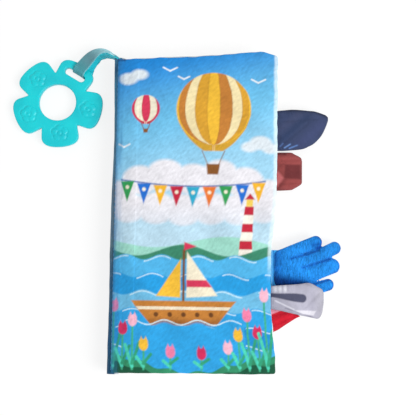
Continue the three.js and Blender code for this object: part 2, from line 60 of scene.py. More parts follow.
PRINT = "print"
CLOTH = "cloth"


def linear(hex_colour: str) -> np.ndarray:
    """Linear RGB of an sRGB hex colour such as "#2496e2"."""
    value = np.array([int(hex_colour[i:i + 2], 16) / 255 for i in (1, 3, 5)])
    return np.where(value <= 0.04045, value / 12.92, ((value + 0.055) / 1.055) ** 2.4)


def rgba(hex_colour: str) -> tuple[float, ...]:
    """Linear RGBA of an sRGB hex colour, for a shader socket."""
    return (*(float(v) for v in linear(hex_colour)), 1.0)


def ease(low: float, high: float, value: np.ndarray) -> np.ndarray:
    """Smooth step from 0 at low to 1 at high."""
    share = np.clip((value - low) / (high - low), 0, 1)
    return share * share * (3 - 2 * share)


def crown(distance: np.ndarray, run: float) -> np.ndarray:
    """Round shoulder of a stuffed edge: 0 at the seam, 1 from one run inside it."""
    left = 1 - np.clip(distance / run, 0, 1)
    return np.sqrt(np.clip(1 - left * left, 0, 1))


def soft_crown(distance: np.ndarray, run: float) -> np.ndarray:
    """Gentler shoulder, for the root of a pad at the spine."""
    left = 1 - np.clip(distance / run, 0, 1)
    return 1 - left * left


def denser_ends(count: int, strength: float = 0.62) -> np.ndarray:
    """Shares from 0 to 1 that lie closer together at both ends."""
    share = np.linspace(0, 1, count)
    return share - strength * np.sin(TAU * share) / TAU


def bell(distance: np.ndarray, width: float) -> np.ndarray:
    """Smooth bump: 1 at no distance, nearly gone two widths away."""
    return np.exp(-(distance / width) ** 2)


def unit_rows(rows: np.ndarray) -> np.ndarray:
    """Rows scaled to length 1."""
    return rows / np.linalg.norm(rows, axis=1)[:, None]


def places_along(points: np.ndarray) -> np.ndarray:
    """Distance of each point of a polyline from its first, measured along it."""
    return np.concatenate([[0], np.cumsum(np.linalg.norm(np.diff(points, axis=0), axis=1))])


def from_ends(y: np.ndarray) -> np.ndarray:
    """Distance of each point of a grid from the nearer end of its column."""
    return np.minimum(y - y.min(axis=1, keepdims=True), y.max(axis=1, keepdims=True) - y)


def resample(points: np.ndarray, count: int) -> np.ndarray:
    """Points at even steps along a polyline."""
    place = places_along(points)
    even = np.linspace(0, place[-1], count)
    return np.stack([np.interp(even, place, points[:, k]) for k in range(points.shape[1])], axis=1)


def through(points: np.ndarray, count: int) -> np.ndarray:
    """Rows of values along a smooth curve that meets a short list of them in order."""
    padded = np.vstack([2 * points[0] - points[1], points, 2 * points[-1] - points[-2]])
    place = np.linspace(0, len(points) - 1, count)
    index = np.minimum(place.astype(int), len(points) - 2)
    t = (place - index)[:, None]
    a, b, c, d = (padded[index + k] for k in range(4))
    return 0.5 * (2 * b + (c - a) * t + (2 * a - 5 * b + 4 * c - d) * t ** 2 + (3 * b - a - 3 * c + d) * t ** 3)


def bezier(p0: np.ndarray, p1: np.ndarray, p2: np.ndarray, p3: np.ndarray, count: int) -> np.ndarray:
    """Points along a cubic curve."""
    t = np.linspace(0, 1, count)[:, None]
    return (1 - t) ** 3 * p0 + 3 * t * (1 - t) ** 2 * p1 + 3 * t * t * (1 - t) * p2 + t ** 3 * p3


class Ripple:
    """Smooth random relief from -1 to 1, the sum of a few seeded waves."""

    def __init__(self, seed: int, spacing: float, count: int = 9) -> None:
        """Draws the waves, whose crests lie about one spacing in millimetres apart."""
        draw = np.random.default_rng(seed)
        angle = draw.uniform(0, TAU, count)
        length = spacing * draw.uniform(0.6, 1.8, count)
        self.along_x = TAU * np.cos(angle) / length
        self.along_y = TAU * np.sin(angle) / length
        self.phase = draw.uniform(0, TAU, count)

    def at(self, x: np.ndarray, y: np.ndarray | float = 0.0) -> np.ndarray:
        """Height of the relief at each place."""
        waves = zip(self.along_x, self.along_y, self.phase)
        return sum(np.sin(kx * x + ky * y + phase) for kx, ky, phase in waves) / math.sqrt(len(self.phase))


def make_object(name: str, points: np.ndarray, faces: np.ndarray | list, cloth: np.ndarray | None = None,
                colours: np.ndarray | None = None) -> bpy.types.Object:
    """Makes one smooth mesh object.

    Args:
        name: Name of the piece.
        points: Places in millimetres, one row each.
        faces: Vertex numbers of each face.
        cloth: Flat cloth coordinates in millimetres for the weave; the places themselves if left out.
        colours: Linear RGB of each point, where the piece is printed.

    Returns:
        The new object, linked to the scene.
    """
    mesh = bpy.data.meshes.new(name)
    rows = faces.tolist() if isinstance(faces, np.ndarray) else faces
    mesh.from_pydata((points * MM).tolist(), [], rows)
    mesh.polygons.foreach_set("use_smooth", np.ones(len(mesh.polygons), bool))
    flat = points if cloth is None else np.column_stack([cloth, np.zeros(len(cloth))])
    layer = mesh.attributes.new(CLOTH, "FLOAT_VECTOR", "POINT")
    layer.data.foreach_set("vector", flat.astype(np.float32).ravel())
    if colours is not None:
        paint = mesh.color_attributes.new(name=PRINT, type="FLOAT_COLOR", domain="POINT")
        full = np.column_stack([np.clip(colours, 0, 1), np.ones(len(colours))])
        paint.data.foreach_set("color", full.astype(np.float32).ravel())
    mesh.update()
    piece = bpy.data.objects.new(name, mesh)
    bpy.context.scene.collection.objects.link(piece)
    return piece


def swept(line: np.ndarray, y: np.ndarray) -> np.ndarray:
    """Grid of one line in the XZ plane, repeated at every Y."""
    shape = (len(line), len(y))
    return np.stack([np.broadcast_to(part, shape) for part in (line[:, :1], y, line[:, 1:])], -1)


def shell_faces(columns: int, rows: int) -> np.ndarray:
    """Faces of a closed form between an upper and a lower grid of columns by rows."""
    at = np.arange(columns * rows).reshape(columns, rows)
    under = at + columns * rows
    a, b, c, d = at[:-1, :-1], at[1:, :-1], at[1:, 1:], at[:-1, 1:]
    upper = np.stack([a, b, c, d], -1).reshape(-1, 4)
    a, b, c, d = under[:-1, :-1], under[:-1, 1:], under[1:, 1:], under[1:, :-1]
    lower = np.stack([a, b, c, d], -1).reshape(-1, 4)
    rim = np.concatenate([at[:, 0], at[-1, 1:], at[-2::-1, -1], at[0, -2:0:-1]])
    after = np.roll(rim, -1)
    shift = columns * rows
    wall = np.stack([rim, rim + shift, after + shift, after], -1)
    return np.vstack([upper, lower, wall])


def shell(name: str, upper: np.ndarray, lower: np.ndarray, flat: np.ndarray,
          upper_rgb: np.ndarray, lower_rgb: np.ndarray) -> bpy.types.Object:
    """Closed cloth form between two grids of places.

    Args:
        name: Name of the piece.
        upper: Places of the upper face, columns by rows by 3.
        lower: Places of the lower face, the same size.
        flat: Flat cloth coordinates, columns by rows by 2.
        upper_rgb: Linear colours of the upper face.
        lower_rgb: Linear colours of the lower face.

    Returns:
        The new object.
    """
    columns, rows = upper.shape[:2]
    points = np.concatenate([upper.reshape(-1, 3), lower.reshape(-1, 3)])
    cloth = np.concatenate([flat.reshape(-1, 2)] * 2)
    colours = np.concatenate([upper_rgb.reshape(-1, 3), lower_rgb.reshape(-1, 3)])
    return make_object(name, points, shell_faces(columns, rows), cloth, colours)


def supersampled(paint: Callable[[np.ndarray, np.ndarray], np.ndarray], flat: np.ndarray) -> np.ndarray:
    """Colours of a print on a grid, each the mean of four samples between a point and its neighbours."""
    step_x = np.abs(np.gradient(flat[..., 0], axis=0))
    step_y = np.abs(np.gradient(flat[..., 1], axis=1))
    spots = ((-0.375, -0.125), (0.125, -0.375), (0.375, 0.125), (-0.125, 0.375))
    return sum(paint(flat[..., 0] + u * step_x, flat[..., 1] + v * step_y) for u, v in spots) / len(spots)


def add_node(tree: bpy.types.NodeTree, kind: str, inputs: dict | None = None, **settings) -> bpy.types.Node:
    """Adds one shader node.

    Args:
        tree: Node tree of the material.
        kind: Node type without its "ShaderNode" prefix.
        inputs: Socket names or numbers, each with a value or an output to link.
        **settings: Properties of the node.

    Returns:
        The new node.
    """
    node = tree.nodes.new("ShaderNode" + kind)
    for key, value in settings.items():
        setattr(node, key, value)
    for key, value in (inputs or {}).items():
        if isinstance(value, bpy.types.NodeSocket):
            tree.links.new(value, node.inputs[key])
        else:
            node.inputs[key].default_value = value
    return node


def empty_material(name: str) -> tuple[bpy.types.Material, bpy.types.NodeTree]:
    """New material with nothing in its node tree."""
    material = bpy.data.materials.new(name)
    material.use_nodes = True
    material.node_tree.nodes.clear()
    return material, material.node_tree


def wave_scale(spacing: float) -> float:
    """Scale of a banded wave texture whose crests lie this many millimetres apart."""
    return TAU / 20 / spacing


class Finish:
    """One material of the book. Each kind says what it puts into the surface shader."""

    name: str

    def sockets(self, tree: bpy.types.NodeTree) -> dict:
        """Inputs of the surface shader, with the nodes that feed them."""
        raise NotImplementedError

    def build(self) -> bpy.types.Material:
        """Makes the material."""
        material, tree = empty_material(self.name)
        surface = add_node(tree, "BsdfPrincipled", self.sockets(tree))
        add_node(tree, "OutputMaterial", {"Surface": surface.outputs[0]})
        return material


@dataclass(frozen=True)
class WovenPolyester(Finish):
    """Plain-woven polyester, heat-printed: matt, flat in colour, with a fine even weave and small creases."""

    name: str = "printed_polyester"
    roughness: float = 0.82
    thread: float = 1.1
    thread_depth: float = 0.035
    crease: float = 13.0
    crease_depth: float = 1.5
    sheen: float = 0.12

    def sockets(self, tree: bpy.types.NodeTree) -> dict:
        """Inputs of the shader. A real thread is 0.3 mm apart, too fine to show, so the weave is drawn coarser."""
        paint = add_node(tree, "Attribute", attribute_name=PRINT)
        flat = add_node(tree, "Attribute", attribute_name=CLOTH).outputs["Vector"]
        mottle = add_node(tree, "TexNoise", {"Vector": flat, "Scale": 1 / self.thread, "Detail": 2.0})
        tone = add_node(tree, "MapRange", {"Value": mottle.outputs[0], "To Min": 0.93, "To Max": 1.07})
        shade = add_node(tree, "VectorMath", {0: paint.outputs["Color"], 1: tone.outputs[0]}, operation="MULTIPLY")
        scale = wave_scale(self.thread)
        warp = add_node(tree, "TexWave", {"Vector": flat, "Scale": scale}, bands_direction="X")
        weft = add_node(tree, "TexWave", {"Vector": flat, "Scale": scale}, bands_direction="Y")
        weave = add_node(tree, "Math", {0: warp.outputs[1], 1: weft.outputs[1]}, operation="MAXIMUM")
        folds = add_node(tree, "TexNoise", {"Vector": flat, "Scale": 1 / self.crease, "Detail": 3.0,
                                            "Roughness": 0.6, "Distortion": 0.4})
        creased = add_node(tree, "Bump", {"Height": folds.outputs[0], "Distance": self.crease_depth * MM})
        woven = add_node(tree, "Bump", {"Height": weave.outputs[0], "Distance": self.thread_depth * MM,
                                        "Normal": creased.outputs[0]})
        return {"Base Color": shade.outputs[0], "Roughness": self.roughness,
                "Sheen Weight": self.sheen, "Sheen Roughness": 0.5, "IOR": 1.45,
                "Specular IOR Level": 0.3, "Normal": woven.outputs[0]}


@dataclass(frozen=True)
class ShortPilePlush(Finish):
    """Short-pile polyester plush: soft sheen, with the pile brushed into thin light and dark streaks."""

    name: str = "short_pile_plush"
    roughness: float = 0.95
    streak: float = 0.9
    stretch: float = 4.0
    depth: float = 0.5
    sheen: float = 0.45

    def sockets(self, tree: bpy.types.NodeTree) -> dict:
        """Inputs of the surface shader."""
        paint = add_node(tree, "Attribute", attribute_name=PRINT)
        place = add_node(tree, "Attribute", attribute_name=CLOTH).outputs["Vector"]
        brushed = add_node(tree, "Mapping", {"Vector": place, "Rotation": (0.0, 0.0, 0.25),
                                             "Scale": (1.0, 1 / self.stretch, 1.0)})
        pile = add_node(tree, "TexNoise", {"Vector": brushed.outputs[0], "Scale": 1 / self.streak,
                                           "Detail": 3.0, "Roughness": 0.7, "Distortion": 0.8})
        tone = add_node(tree, "MapRange", {"Value": pile.outputs[0], "From Min": 0.3, "From Max": 0.7,
                                           "To Min": 0.58, "To Max": 1.5})
        shade = add_node(tree, "VectorMath", {0: paint.outputs["Color"], 1: tone.outputs[0]}, operation="MULTIPLY")
        relief = add_node(tree, "Bump", {"Height": pile.outputs[0], "Distance": self.depth * MM})
        return {"Base Color": shade.outputs[0], "Roughness": self.roughness,
                "Sheen Weight": self.sheen, "Sheen Roughness": 0.4, "Specular IOR Level": 0.1,
                "Sheen Tint": rgba("#9fd4ff"), "Normal": relief.outputs[0]}


@dataclass(frozen=True)
class Grosgrain(Finish):
    """Grosgrain ribbon, woven with thick weft cords: close cross ribs and a slight silky gloss."""

    name: str = "grosgrain_ribbon"
    roughness: float = 0.55
    rib: float = 0.9
    depth: float = 0.22
    sheen: float = 0.2

    def sockets(self, tree: bpy.types.NodeTree) -> dict:
        """Inputs of the surface shader."""
        paint = add_node(tree, "Attribute", attribute_name=PRINT)
        flat = add_node(tree, "Attribute", attribute_name=CLOTH).outputs["Vector"]
        cords = add_node(tree, "TexWave", {"Vector": flat, "Scale": wave_scale(self.rib), "Distortion": 0.3},
                         bands_direction="X")
        # The colour is darker between the cords and lighter on their crests: painted shade and painted highlight of
        # the ribs.
        tone = add_node(tree, "MapRange", {"Value": cords.outputs[1], "To Min": 0.84, "To Max": 1.1})
        shade = add_node(tree, "VectorMath", {0: paint.outputs["Color"], 1: tone.outputs[0]}, operation="MULTIPLY")
        relief = add_node(tree, "Bump", {"Height": cords.outputs[1], "Distance": self.depth * MM})
        return {"Base Color": shade.outputs[0], "Roughness": self.roughness,
                "Sheen Weight": self.sheen, "Sheen Roughness": 0.4, "Specular IOR Level": 0.35,
                "Normal": relief.outputs[0]}


@dataclass(frozen=True)
class MouldedSilicone(Finish):
    """Food-grade silicone, compression moulded: satin skin that lets a little light in."""

    name: str = "moulded_silicone"
    colour: str = "#0fdfe4"
    deep: str = "#02c2d0"
    roughness: float = 0.36
    cloud: float = 14.0
    depth: float = 0.03
    grain: float = 1.2

    def sockets(self, tree: bpy.types.NodeTree) -> dict:
        """Inputs of the surface shader."""
        place = add_node(tree, "Attribute", attribute_name=CLOTH).outputs["Vector"]
        cloud = add_node(tree, "TexNoise", {"Vector": place, "Scale": 1 / self.cloud, "Detail": 1.0})
        tint = add_node(tree, "ValToRGB", {"Fac": cloud.outputs[0]})
        tint.color_ramp.elements[0].color = rgba(self.deep)
        tint.color_ramp.elements[1].color = rgba(self.colour)
        grain = add_node(tree, "TexNoise", {"Vector": place, "Scale": 1 / self.grain, "Detail": 2.0})
        skin = add_node(tree, "Bump", {"Height": grain.outputs[0], "Distance": self.depth * MM})
        return {"Base Color": tint.outputs[0], "Roughness": self.roughness, "IOR": 1.41,
                "Subsurface Weight": 0.15, "Subsurface Scale": 2 * MM,
                "Subsurface Radius": (0.3, 1.0, 1.0), "Normal": skin.outputs[0]}


@dataclass(frozen=True)
class SewingThread(Finish):
    """Spun polyester thread: matt, with the twist just visible."""

    name: str = "sewing_thread"
    colour: str = "#3a76a2"
    twist: float = 0.7
    depth: float = 0.12

    def sockets(self, tree: bpy.types.NodeTree) -> dict:
        """Inputs of the surface shader."""
        place = add_node(tree, "Attribute", attribute_name=CLOTH).outputs["Vector"]
        ply = add_node(tree, "TexWave", {"Vector": place, "Scale": wave_scale(self.twist)},
                       bands_direction="DIAGONAL")
        relief = add_node(tree, "Bump", {"Height": ply.outputs[1], "Distance": self.depth * MM})
        return {"Base Color": rgba(self.colour), "Roughness": 0.8, "Sheen Weight": 0.2,
                "Normal": relief.outputs[0]}


@dataclass(frozen=True)
class Wadding(Finish):
    """Thermally bonded polyester wadding: white, loose and cloudy."""

    name: str = "polyester_wadding"
    colour: str = "#f4f4f0"
    tuft: float = 4.0

    def sockets(self, tree: bpy.types.NodeTree) -> dict:
        """Inputs of the surface shader."""
        place = add_node(tree, "TexCoord").outputs["Object"]
        tufts = add_node(tree, "TexNoise", {"Vector": place, "Scale": 1 / (self.tuft * MM), "Detail": 4.0})
        relief = add_node(tree, "Bump", {"Height": tufts.outputs[0], "Distance": self.tuft * MM / 4})
        return {"Base Color": rgba(self.colour), "Roughness": 1.0, "Sheen Weight": 0.3,
                "Normal": relief.outputs[0]}


@dataclass(frozen=True)
class CrinkleFilm(Finish):
    """Clear polypropylene film, creased so that it rustles."""

    name: str = "crinkle_film"
    colour: str = "#e4ecee"
    crease: float = 7.0

    def sockets(self, tree: bpy.types.NodeTree) -> dict:
        """Inputs of the surface shader."""
        place = add_node(tree, "TexCoord").outputs["Object"]
        creases = add_node(tree, "TexVoronoi", {"Vector": place, "Scale": 1 / (self.crease * MM)},
                           feature="DISTANCE_TO_EDGE")
        relief = add_node(tree, "Bump", {"Height": creases.outputs[0], "Distance": self.crease * MM / 8})
        return {"Base Color": rgba(self.colour), "Roughness": 0.2, "Normal": relief.outputs[0]}


@dataclass(frozen=True)
class PaleFloor:
    """Matt white studio card, lit evenly, that still takes a soft shadow."""

    name: str = "studio_card"
    colour: str = "#f7f7f7"
    lift: float = 0.16
    near: float = 160.0
    far: float = 800.0
    paling: float = 0.78

    def build(self) -> bpy.types.Material:
        """Makes the material: a card that the camera sees a little brighter, and as pure white further out."""
        material, tree = empty_material(self.name)
        card = add_node(tree, "BsdfDiffuse", {"Color": rgba(self.colour)})
        path = add_node(tree, "LightPath")
        seen = add_node(tree, "Math", {0: path.outputs["Is Camera Ray"], 1: path.outputs["Is Glossy Ray"]},
                        operation="MAXIMUM")
        lift = add_node(tree, "Math", {0: seen.outputs[0], 1: self.lift}, operation="MULTIPLY")
        glow = add_node(tree, "Emission", {"Color": rgba("#ffffff"), "Strength": lift.outputs[0]})
        both = add_node(tree, "AddShader", {0: card.outputs[0], 1: glow.outputs[0]})
        place = add_node(tree, "NewGeometry").outputs["Position"]
        distance = add_node(tree, "VectorMath", {0: place}, operation="LENGTH")
        fade = add_node(tree, "MapRange", {"Value": distance.outputs["Value"], "From Min": self.near * MM,
                                           "From Max": self.far * MM, "To Min": self.paling},
                        interpolation_type="SMOOTHSTEP")
        share = add_node(tree, "Math", {0: seen.outputs[0], 1: fade.outputs[0]}, operation="MULTIPLY")
        white = add_node(tree, "Emission", {"Color": rgba("#ffffff"), "Strength": 1.0})
        mixed = add_node(tree, "MixShader", {0: share.outputs[0], 1: both.outputs[0], 2: white.outputs[0]})
        add_node(tree, "OutputMaterial", {"Surface": mixed.outputs[0]})
        return material


class Finishes:
    """Every material of the book, each made once."""

    def __init__(self) -> None:
        """Makes the materials."""
        self.cloth = WovenPolyester().build()
        self.plush = ShortPilePlush().build()
        self.ribbon = Grosgrain().build()
        self.silicone = MouldedSilicone().build()
        self.thread = SewingThread().build()
        self.wadding = Wadding().build()
        self.film = CrinkleFilm().build()


def dress(piece: bpy.types.Object, material: bpy.types.Material) -> None:
    """Gives a piece one material."""
    piece.data.materials.clear()
    piece.data.materials.append(material)


class Canvas:
    """Paint on the points of one cloth panel, placed in millimetres of flat cloth."""

    def __init__(self, x: np.ndarray, y: np.ndarray, ground: str) -> None:
        """Starts with one ground colour at each X and Y of the cloth."""
        self.x = x
        self.y = y
        self.rgb = np.broadcast_to(linear(ground), (*x.shape, 3)).copy()

    def lay(self, distance: np.ndarray, colour: str, blur: float = 0.8) -> None:
        """Paints a colour where the distance to the shape's edge is negative."""
        cover = np.clip(0.5 - distance / blur, 0, 1)[..., None]
        self.rgb = self.rgb * (1 - cover) + linear(colour) * cover

    def wash(self, share: np.ndarray, colour: str) -> None:
        """Mixes a colour in by a share at each point."""
        cover = np.clip(share, 0, 1)[..., None]
        self.rgb = self.rgb * (1 - cover) + linear(colour) * cover

    def lay_in_turn(self, index: np.ndarray, tones: tuple[str, ...], distance: np.ndarray | float = -1.0) -> None:
        """Paints a shape in several tones, which take turns by a whole number at each point."""
        for k, tone in enumerate(tones):
            self.lay(np.where(index % len(tones) == k, distance, 1.0), tone)

    def smudge(self, ax: float, ay: float, bx: float, by: float, width: float, share: float, colour: str) -> None:
        """Mixes in a soft stroke from a to b, which fades over its width."""
        self.wash(share * bell(self.bar(ax, ay, bx, by, 0.0), width), colour)

    def disc(self, cx: float, cy: float, rx: float, ry: float | None = None) -> np.ndarray:
        """Distance to an upright ellipse, or to a circle if one radius is given."""
        ry = ry or rx
        return (np.hypot((self.x - cx) / rx, (self.y - cy) / ry) - 1) * min(rx, ry)

    def bar(self, ax: float, ay: float, bx: float, by: float, half: float) -> np.ndarray:
        """Distance to a round-ended stroke from a to b."""
        dx, dy = bx - ax, by - ay
        share = np.clip(((self.x - ax) * dx + (self.y - ay) * dy) / (dx * dx + dy * dy), 0, 1)
        return np.hypot(self.x - ax - share * dx, self.y - ay - share * dy) - half

    def polygon(self, *corners: tuple[float, float]) -> np.ndarray:
        """Distance to a convex outline whose corners run anticlockwise."""
        distance = np.full(self.x.shape, -1e9)
        for (ax, ay), (bx, by) in zip(corners, corners[1:] + corners[:1]):
            length = math.hypot(bx - ax, by - ay)
            side = ((self.x - ax) * (by - ay) - (self.y - ay) * (bx - ax)) / length
            distance = np.maximum(distance, side)
        return distance

    def brushed(self, seed: int, strength: float = 0.05) -> np.ndarray:
        """Colours with the uneven tone of watercolour."""
        tone = Ripple(seed, 26).at(self.x, self.y) + 0.5 * Ripple(seed + 1, 7).at(self.x, self.y)
        return self.rgb * (1 + strength * tone[..., None])


@dataclass(frozen=True)
class Balloon:
    """One printed hot-air balloon."""

    x: float
    y: float
    radius: float
    gores: tuple[str, ...]
    basket: str = "#8a5524"

    def paint(self, canvas: Canvas) -> None:
        """Paints the envelope in upright gores, then the ropes and the basket."""
        r = self.radius
        below = np.clip((self.y - canvas.y) / r, 0, 2)
        taper = 1 - 0.22 * below ** 2
        half = r * taper
        envelope = np.hypot((canvas.x - self.x) / taper, np.minimum(canvas.y - self.y, 0) * 0.84
                            + np.maximum(canvas.y - self.y, 0)) - r
        foot = self.y - 1.12 * r
        envelope = np.maximum(envelope, foot - canvas.y)
        span = np.sqrt(np.clip(half ** 2 - 0.7 * (canvas.y - self.y) ** 2, 1, None))
        turn = np.arcsin(np.clip((canvas.x - self.x) / span, -1, 1)) / math.pi + 0.5
        count = 2 * len(self.gores) + 1
        index = np.minimum((turn * count).astype(int), count - 1)
        canvas.lay_in_turn(index, self.gores, envelope)
        rim = np.abs((turn * count) % 1 - 0.5)
        canvas.wash(0.35 * (envelope < 0) * ease(0.42, 0.5, rim), "#7c4a1c")
        for side in (-1, 1):
            rope = canvas.bar(self.x + side * 0.3 * r, foot, self.x + side * 0.14 * r, self.y - 1.5 * r, 0.3)
            canvas.lay(rope, self.basket)
        low, high, wide = self.y - 1.75 * r, self.y - 1.47 * r, 0.18 * r
        basket = canvas.polygon((self.x - 0.8 * wide, low), (self.x + 0.8 * wide, low),
                                (self.x + wide, high), (self.x - wide, high))
        canvas.lay(basket, self.basket)


class CoverPicture:
    """The print on the front cover: balloons over a bunting, with a sailing boat on the sea below."""

    sea_top: float = -31.0
    flags: tuple[str, ...] = ("#2f9e53", "#1f6fd0", "#f2b62c", "#c8203f", "#2aa7c9", "#e8772e")

    def __init__(self, x: np.ndarray, y: np.ndarray) -> None:
        """Starts the picture on the cover's points."""
        self.canvas = Canvas(x, y, "#a2d8f3")

    def paint(self) -> np.ndarray:
        """Paints every layer, from the sky down to the shore."""
        self.sky()
        self.clouds()
        Balloon(14, 76, 27, ("#f2bd38", "#c57f35", "#f3e2b0", "#daa130")).paint(self.canvas)
        Balloon(-35, 76, 10, ("#d8365a", "#f3ead2")).paint(self.canvas)
        self.bunting()
        self.gulls()
        self.hills()
        self.sea()
        self.boat()
        self.shore()
        self.margins()
        return self.crayon() * self.canvas.brushed(11)

    def margins(self) -> None:
        """Pale hem along the fore-edge, painted shade along the spine and in soft folds near it, and the painted
        shade of a small fold at the top.
        """
        c = self.canvas
        c.wash(0.7 * ease(56.6, 58.4, c.x) * ease(-50, -20, c.y), "#e4f5fb")
        # Painted shade along the spine, strongest next to the roll.
        c.wash(0.35 * ease(-49, -53, c.x), "#1f5f8c")
        c.wash(0.5 * ease(-53.4, -55.6, c.x), "#22608e")
        # Painted shade in soft folds running along the spine.
        folds = np.clip(Ripple(15, 3.0).at(c.x, 0.1 * c.y) - 0.2, 0, 1)
        c.wash(0.3 * folds * ease(-45, -54, c.x), "#1f5f92")
        # Painted shade of a small fold at the top edge by the spine.
        c.smudge(-57, 111.6, -51, 112.4, 0.9, 0.75, "#0d3a68")

    def crayon(self) -> np.ndarray:
        """Fine slanting strokes, as of wax crayon, as a factor on the colours."""
        c = self.canvas
        along, over = 0.8 * c.x + 0.6 * c.y, 0.8 * c.y - 0.6 * c.x
        strokes = Ripple(17, 1.7, 14).at(0.22 * along, over) + 0.6 * Ripple(19, 2.6, 12).at(c.x, c.y)
        return 1 + 0.045 * strokes[..., None]

    def sky(self) -> None:
        """Strong blue at the top left, paling down to the horizon."""
        c = self.canvas
        height = c.y - 0.25 * c.x
        c.wash(ease(20, 80, height), "#6cc0ea")
        c.wash(ease(70, 122, height), "#1688da")
        c.wash(0.7 * ease(40, -20, c.y), "#c6dfec")

    def clouds(self) -> None:
        """One long pale bank behind the bunting, and two small clouds."""
        c = self.canvas
        bank = np.full(c.x.shape, 1e3)
        puffs = [(-52, 14, 12), (-38, 24, 13), (-20, 28, 14), (0, 25, 14), (19, 29, 13), (37, 23, 14),
                 (54, 16, 12), (-46, 4, 13), (-26, 4, 14), (-6, 3, 14), (14, 4, 14), (34, 4, 14), (52, 4, 12)]
        for cx, cy, radius in puffs:
            bank = np.minimum(bank, c.disc(cx, cy, radius, 0.8 * radius))
        c.lay(bank, "#eceaf0", 2.5)
        c.wash(0.4 * (bank < 0) * ease(10, -8, c.y), "#c9d8e6")
        for cx, cy, radius in [(-48, 98, 7), (-40, 101, 6), (48, 52, 8), (40, 49, 6), (55, 48, 6)]:
            c.lay(c.disc(cx, cy, radius, 0.62 * radius), "#e3edf4", 2)

    def bunting(self) -> None:
        """Row of coloured pennants on a sagging cord."""
        c = self.canvas
        count = 9
        first, last, sag = -47.0, 47.0, 4.0
        cord = 24 - sag * (1 - (c.x / 50) ** 2)
        c.lay(np.maximum(np.abs(c.y - cord) - 0.5, np.abs(c.x) - 52), "#2c5ea8")
        for k in range(count):
            x = first + (last - first) * k / (count - 1)
            top = 24 - sag * (1 - (x / 50) ** 2)
            flag = c.polygon((x - 4.9, top - 0.4), (x, top - 15), (x + 4.9, top - 0.4))
            c.lay(flag, self.flags[k % len(self.flags)])
            c.lay(c.disc(x, top - 4.6, 1.3), "#fbf3dc")

    def gulls(self) -> None:
        """Small birds in the distance, two strokes each."""
        for x, y, span in [(-18, 104, 5), (-8, 98, 4), (46, 96, 5), (-50, 48, 4)]:
            self.canvas.lay(self.canvas.bar(x, y, x - span, y + span / 2, 0.5), "#f4f8fb")
            self.canvas.lay(self.canvas.bar(x, y, x + span, y + span / 2, 0.5), "#f4f8fb")

    def hills(self) -> None:
        """Two green rows on the horizon with a striped lighthouse."""
        c = self.canvas
        far = self.sea_top + 11 + 4 * np.sin(c.x / 17)
        near = self.sea_top + 5 + 4 * np.sin(c.x / 11 + 2)
        c.lay(c.y - far, "#9dd9c8")
        foot, top, x = self.sea_top, self.sea_top + 37, 41.0
        for k in range(6):
            low = foot + (top - foot) * k / 6
            high = foot + (top - foot) * (k + 1) / 6
            wide_low = 5.2 - 0.35 * k
            wide_high = 5.2 - 0.35 * (k + 1)
            band = c.polygon((x - wide_low, low), (x + wide_low, low), (x + wide_high, high), (x - wide_high, high))
            c.lay(band, "#c2243a" if k % 2 else "#f5efe2", 0.6)
        c.lay(c.polygon((x - 2.4, top), (x + 2.4, top), (x + 2.4, top + 5), (x - 2.4, top + 5)), "#f7d35c")
        c.lay(c.polygon((x - 3.6, top + 5), (x + 3.6, top + 5), (x, top + 9.5)), "#c2243a")
        c.lay(c.y - near, "#388568")

    def sea(self) -> None:
        """Rows of rolling water, darker towards the bottom of the page."""
        c = self.canvas
        tones = ("#4fb4e8", "#209cde", "#6ebce3", "#2aa2e2", "#1b8fd4", "#3fa9e2", "#1d86c8")
        for k, tone in enumerate(tones):
            crest = self.sea_top - 12.5 * k + 1.9 * np.sin(TAU * (c.x / (27 + k)) + 1.3 * k)
            c.lay(c.y - crest, tone)
            foam = np.abs(c.y - crest + 1.1) - 0.45
            c.wash(0.75 * (foam < 0) * (np.sin(c.x / 5 + k) > -0.4), "#d3eefa")

    def boat(self) -> None:
        """Broad wooden boat with cream and mustard sails."""
        c = self.canvas
        x, deck = -4.0, -63.0
        c.lay(c.bar(x, deck, x, deck + 37, 0.9), "#7a4a20")
        c.lay(c.polygon((x + 2.2, deck + 3.5), (x + 25, deck + 5), (x + 2.2, deck + 36)), "#f4ead0")
        c.lay(c.polygon((x - 20, deck + 4.5), (x - 2.2, deck + 3.5), (x - 2.2, deck + 31)), "#f2bd38")
        c.lay(c.polygon((x + 2.2, deck + 11), (x + 20.6, deck + 11), (x + 16.9, deck + 16), (x + 2.2, deck + 16)),
              "#d8365a")
        c.lay(c.polygon((x, deck + 37), (x + 9, deck + 40), (x, deck + 43)), "#d8365a")
        hull = c.polygon((x - 23, deck - 15), (x + 23, deck - 15), (x + 36, deck), (x - 36, deck))
        c.lay(hull - 1.2, "#c57f35")
        c.wash(0.9 * (hull < 1) * (np.abs(c.y - deck + 4) < 1.1), "#f4ead0")
        c.wash(0.8 * (hull < 1) * ease(-9, -15, c.y - deck), "#8f5626")
        for k in range(5):
            c.lay(c.disc(x - 20 + 10 * k, deck - 8.5, 1.7), "#6b3f18")
        ripple = c.y - (deck - 14 + 1.7 * np.sin(TAU * c.x / 24))
        c.wash(ease(0, -3, ripple) * (np.abs(c.x - x) < 44), "#2aa2e2")
        crest = np.abs(ripple) - 0.5
        c.wash(0.8 * (crest < 0) * (np.abs(c.x - x) < 42), "#d3eefa")

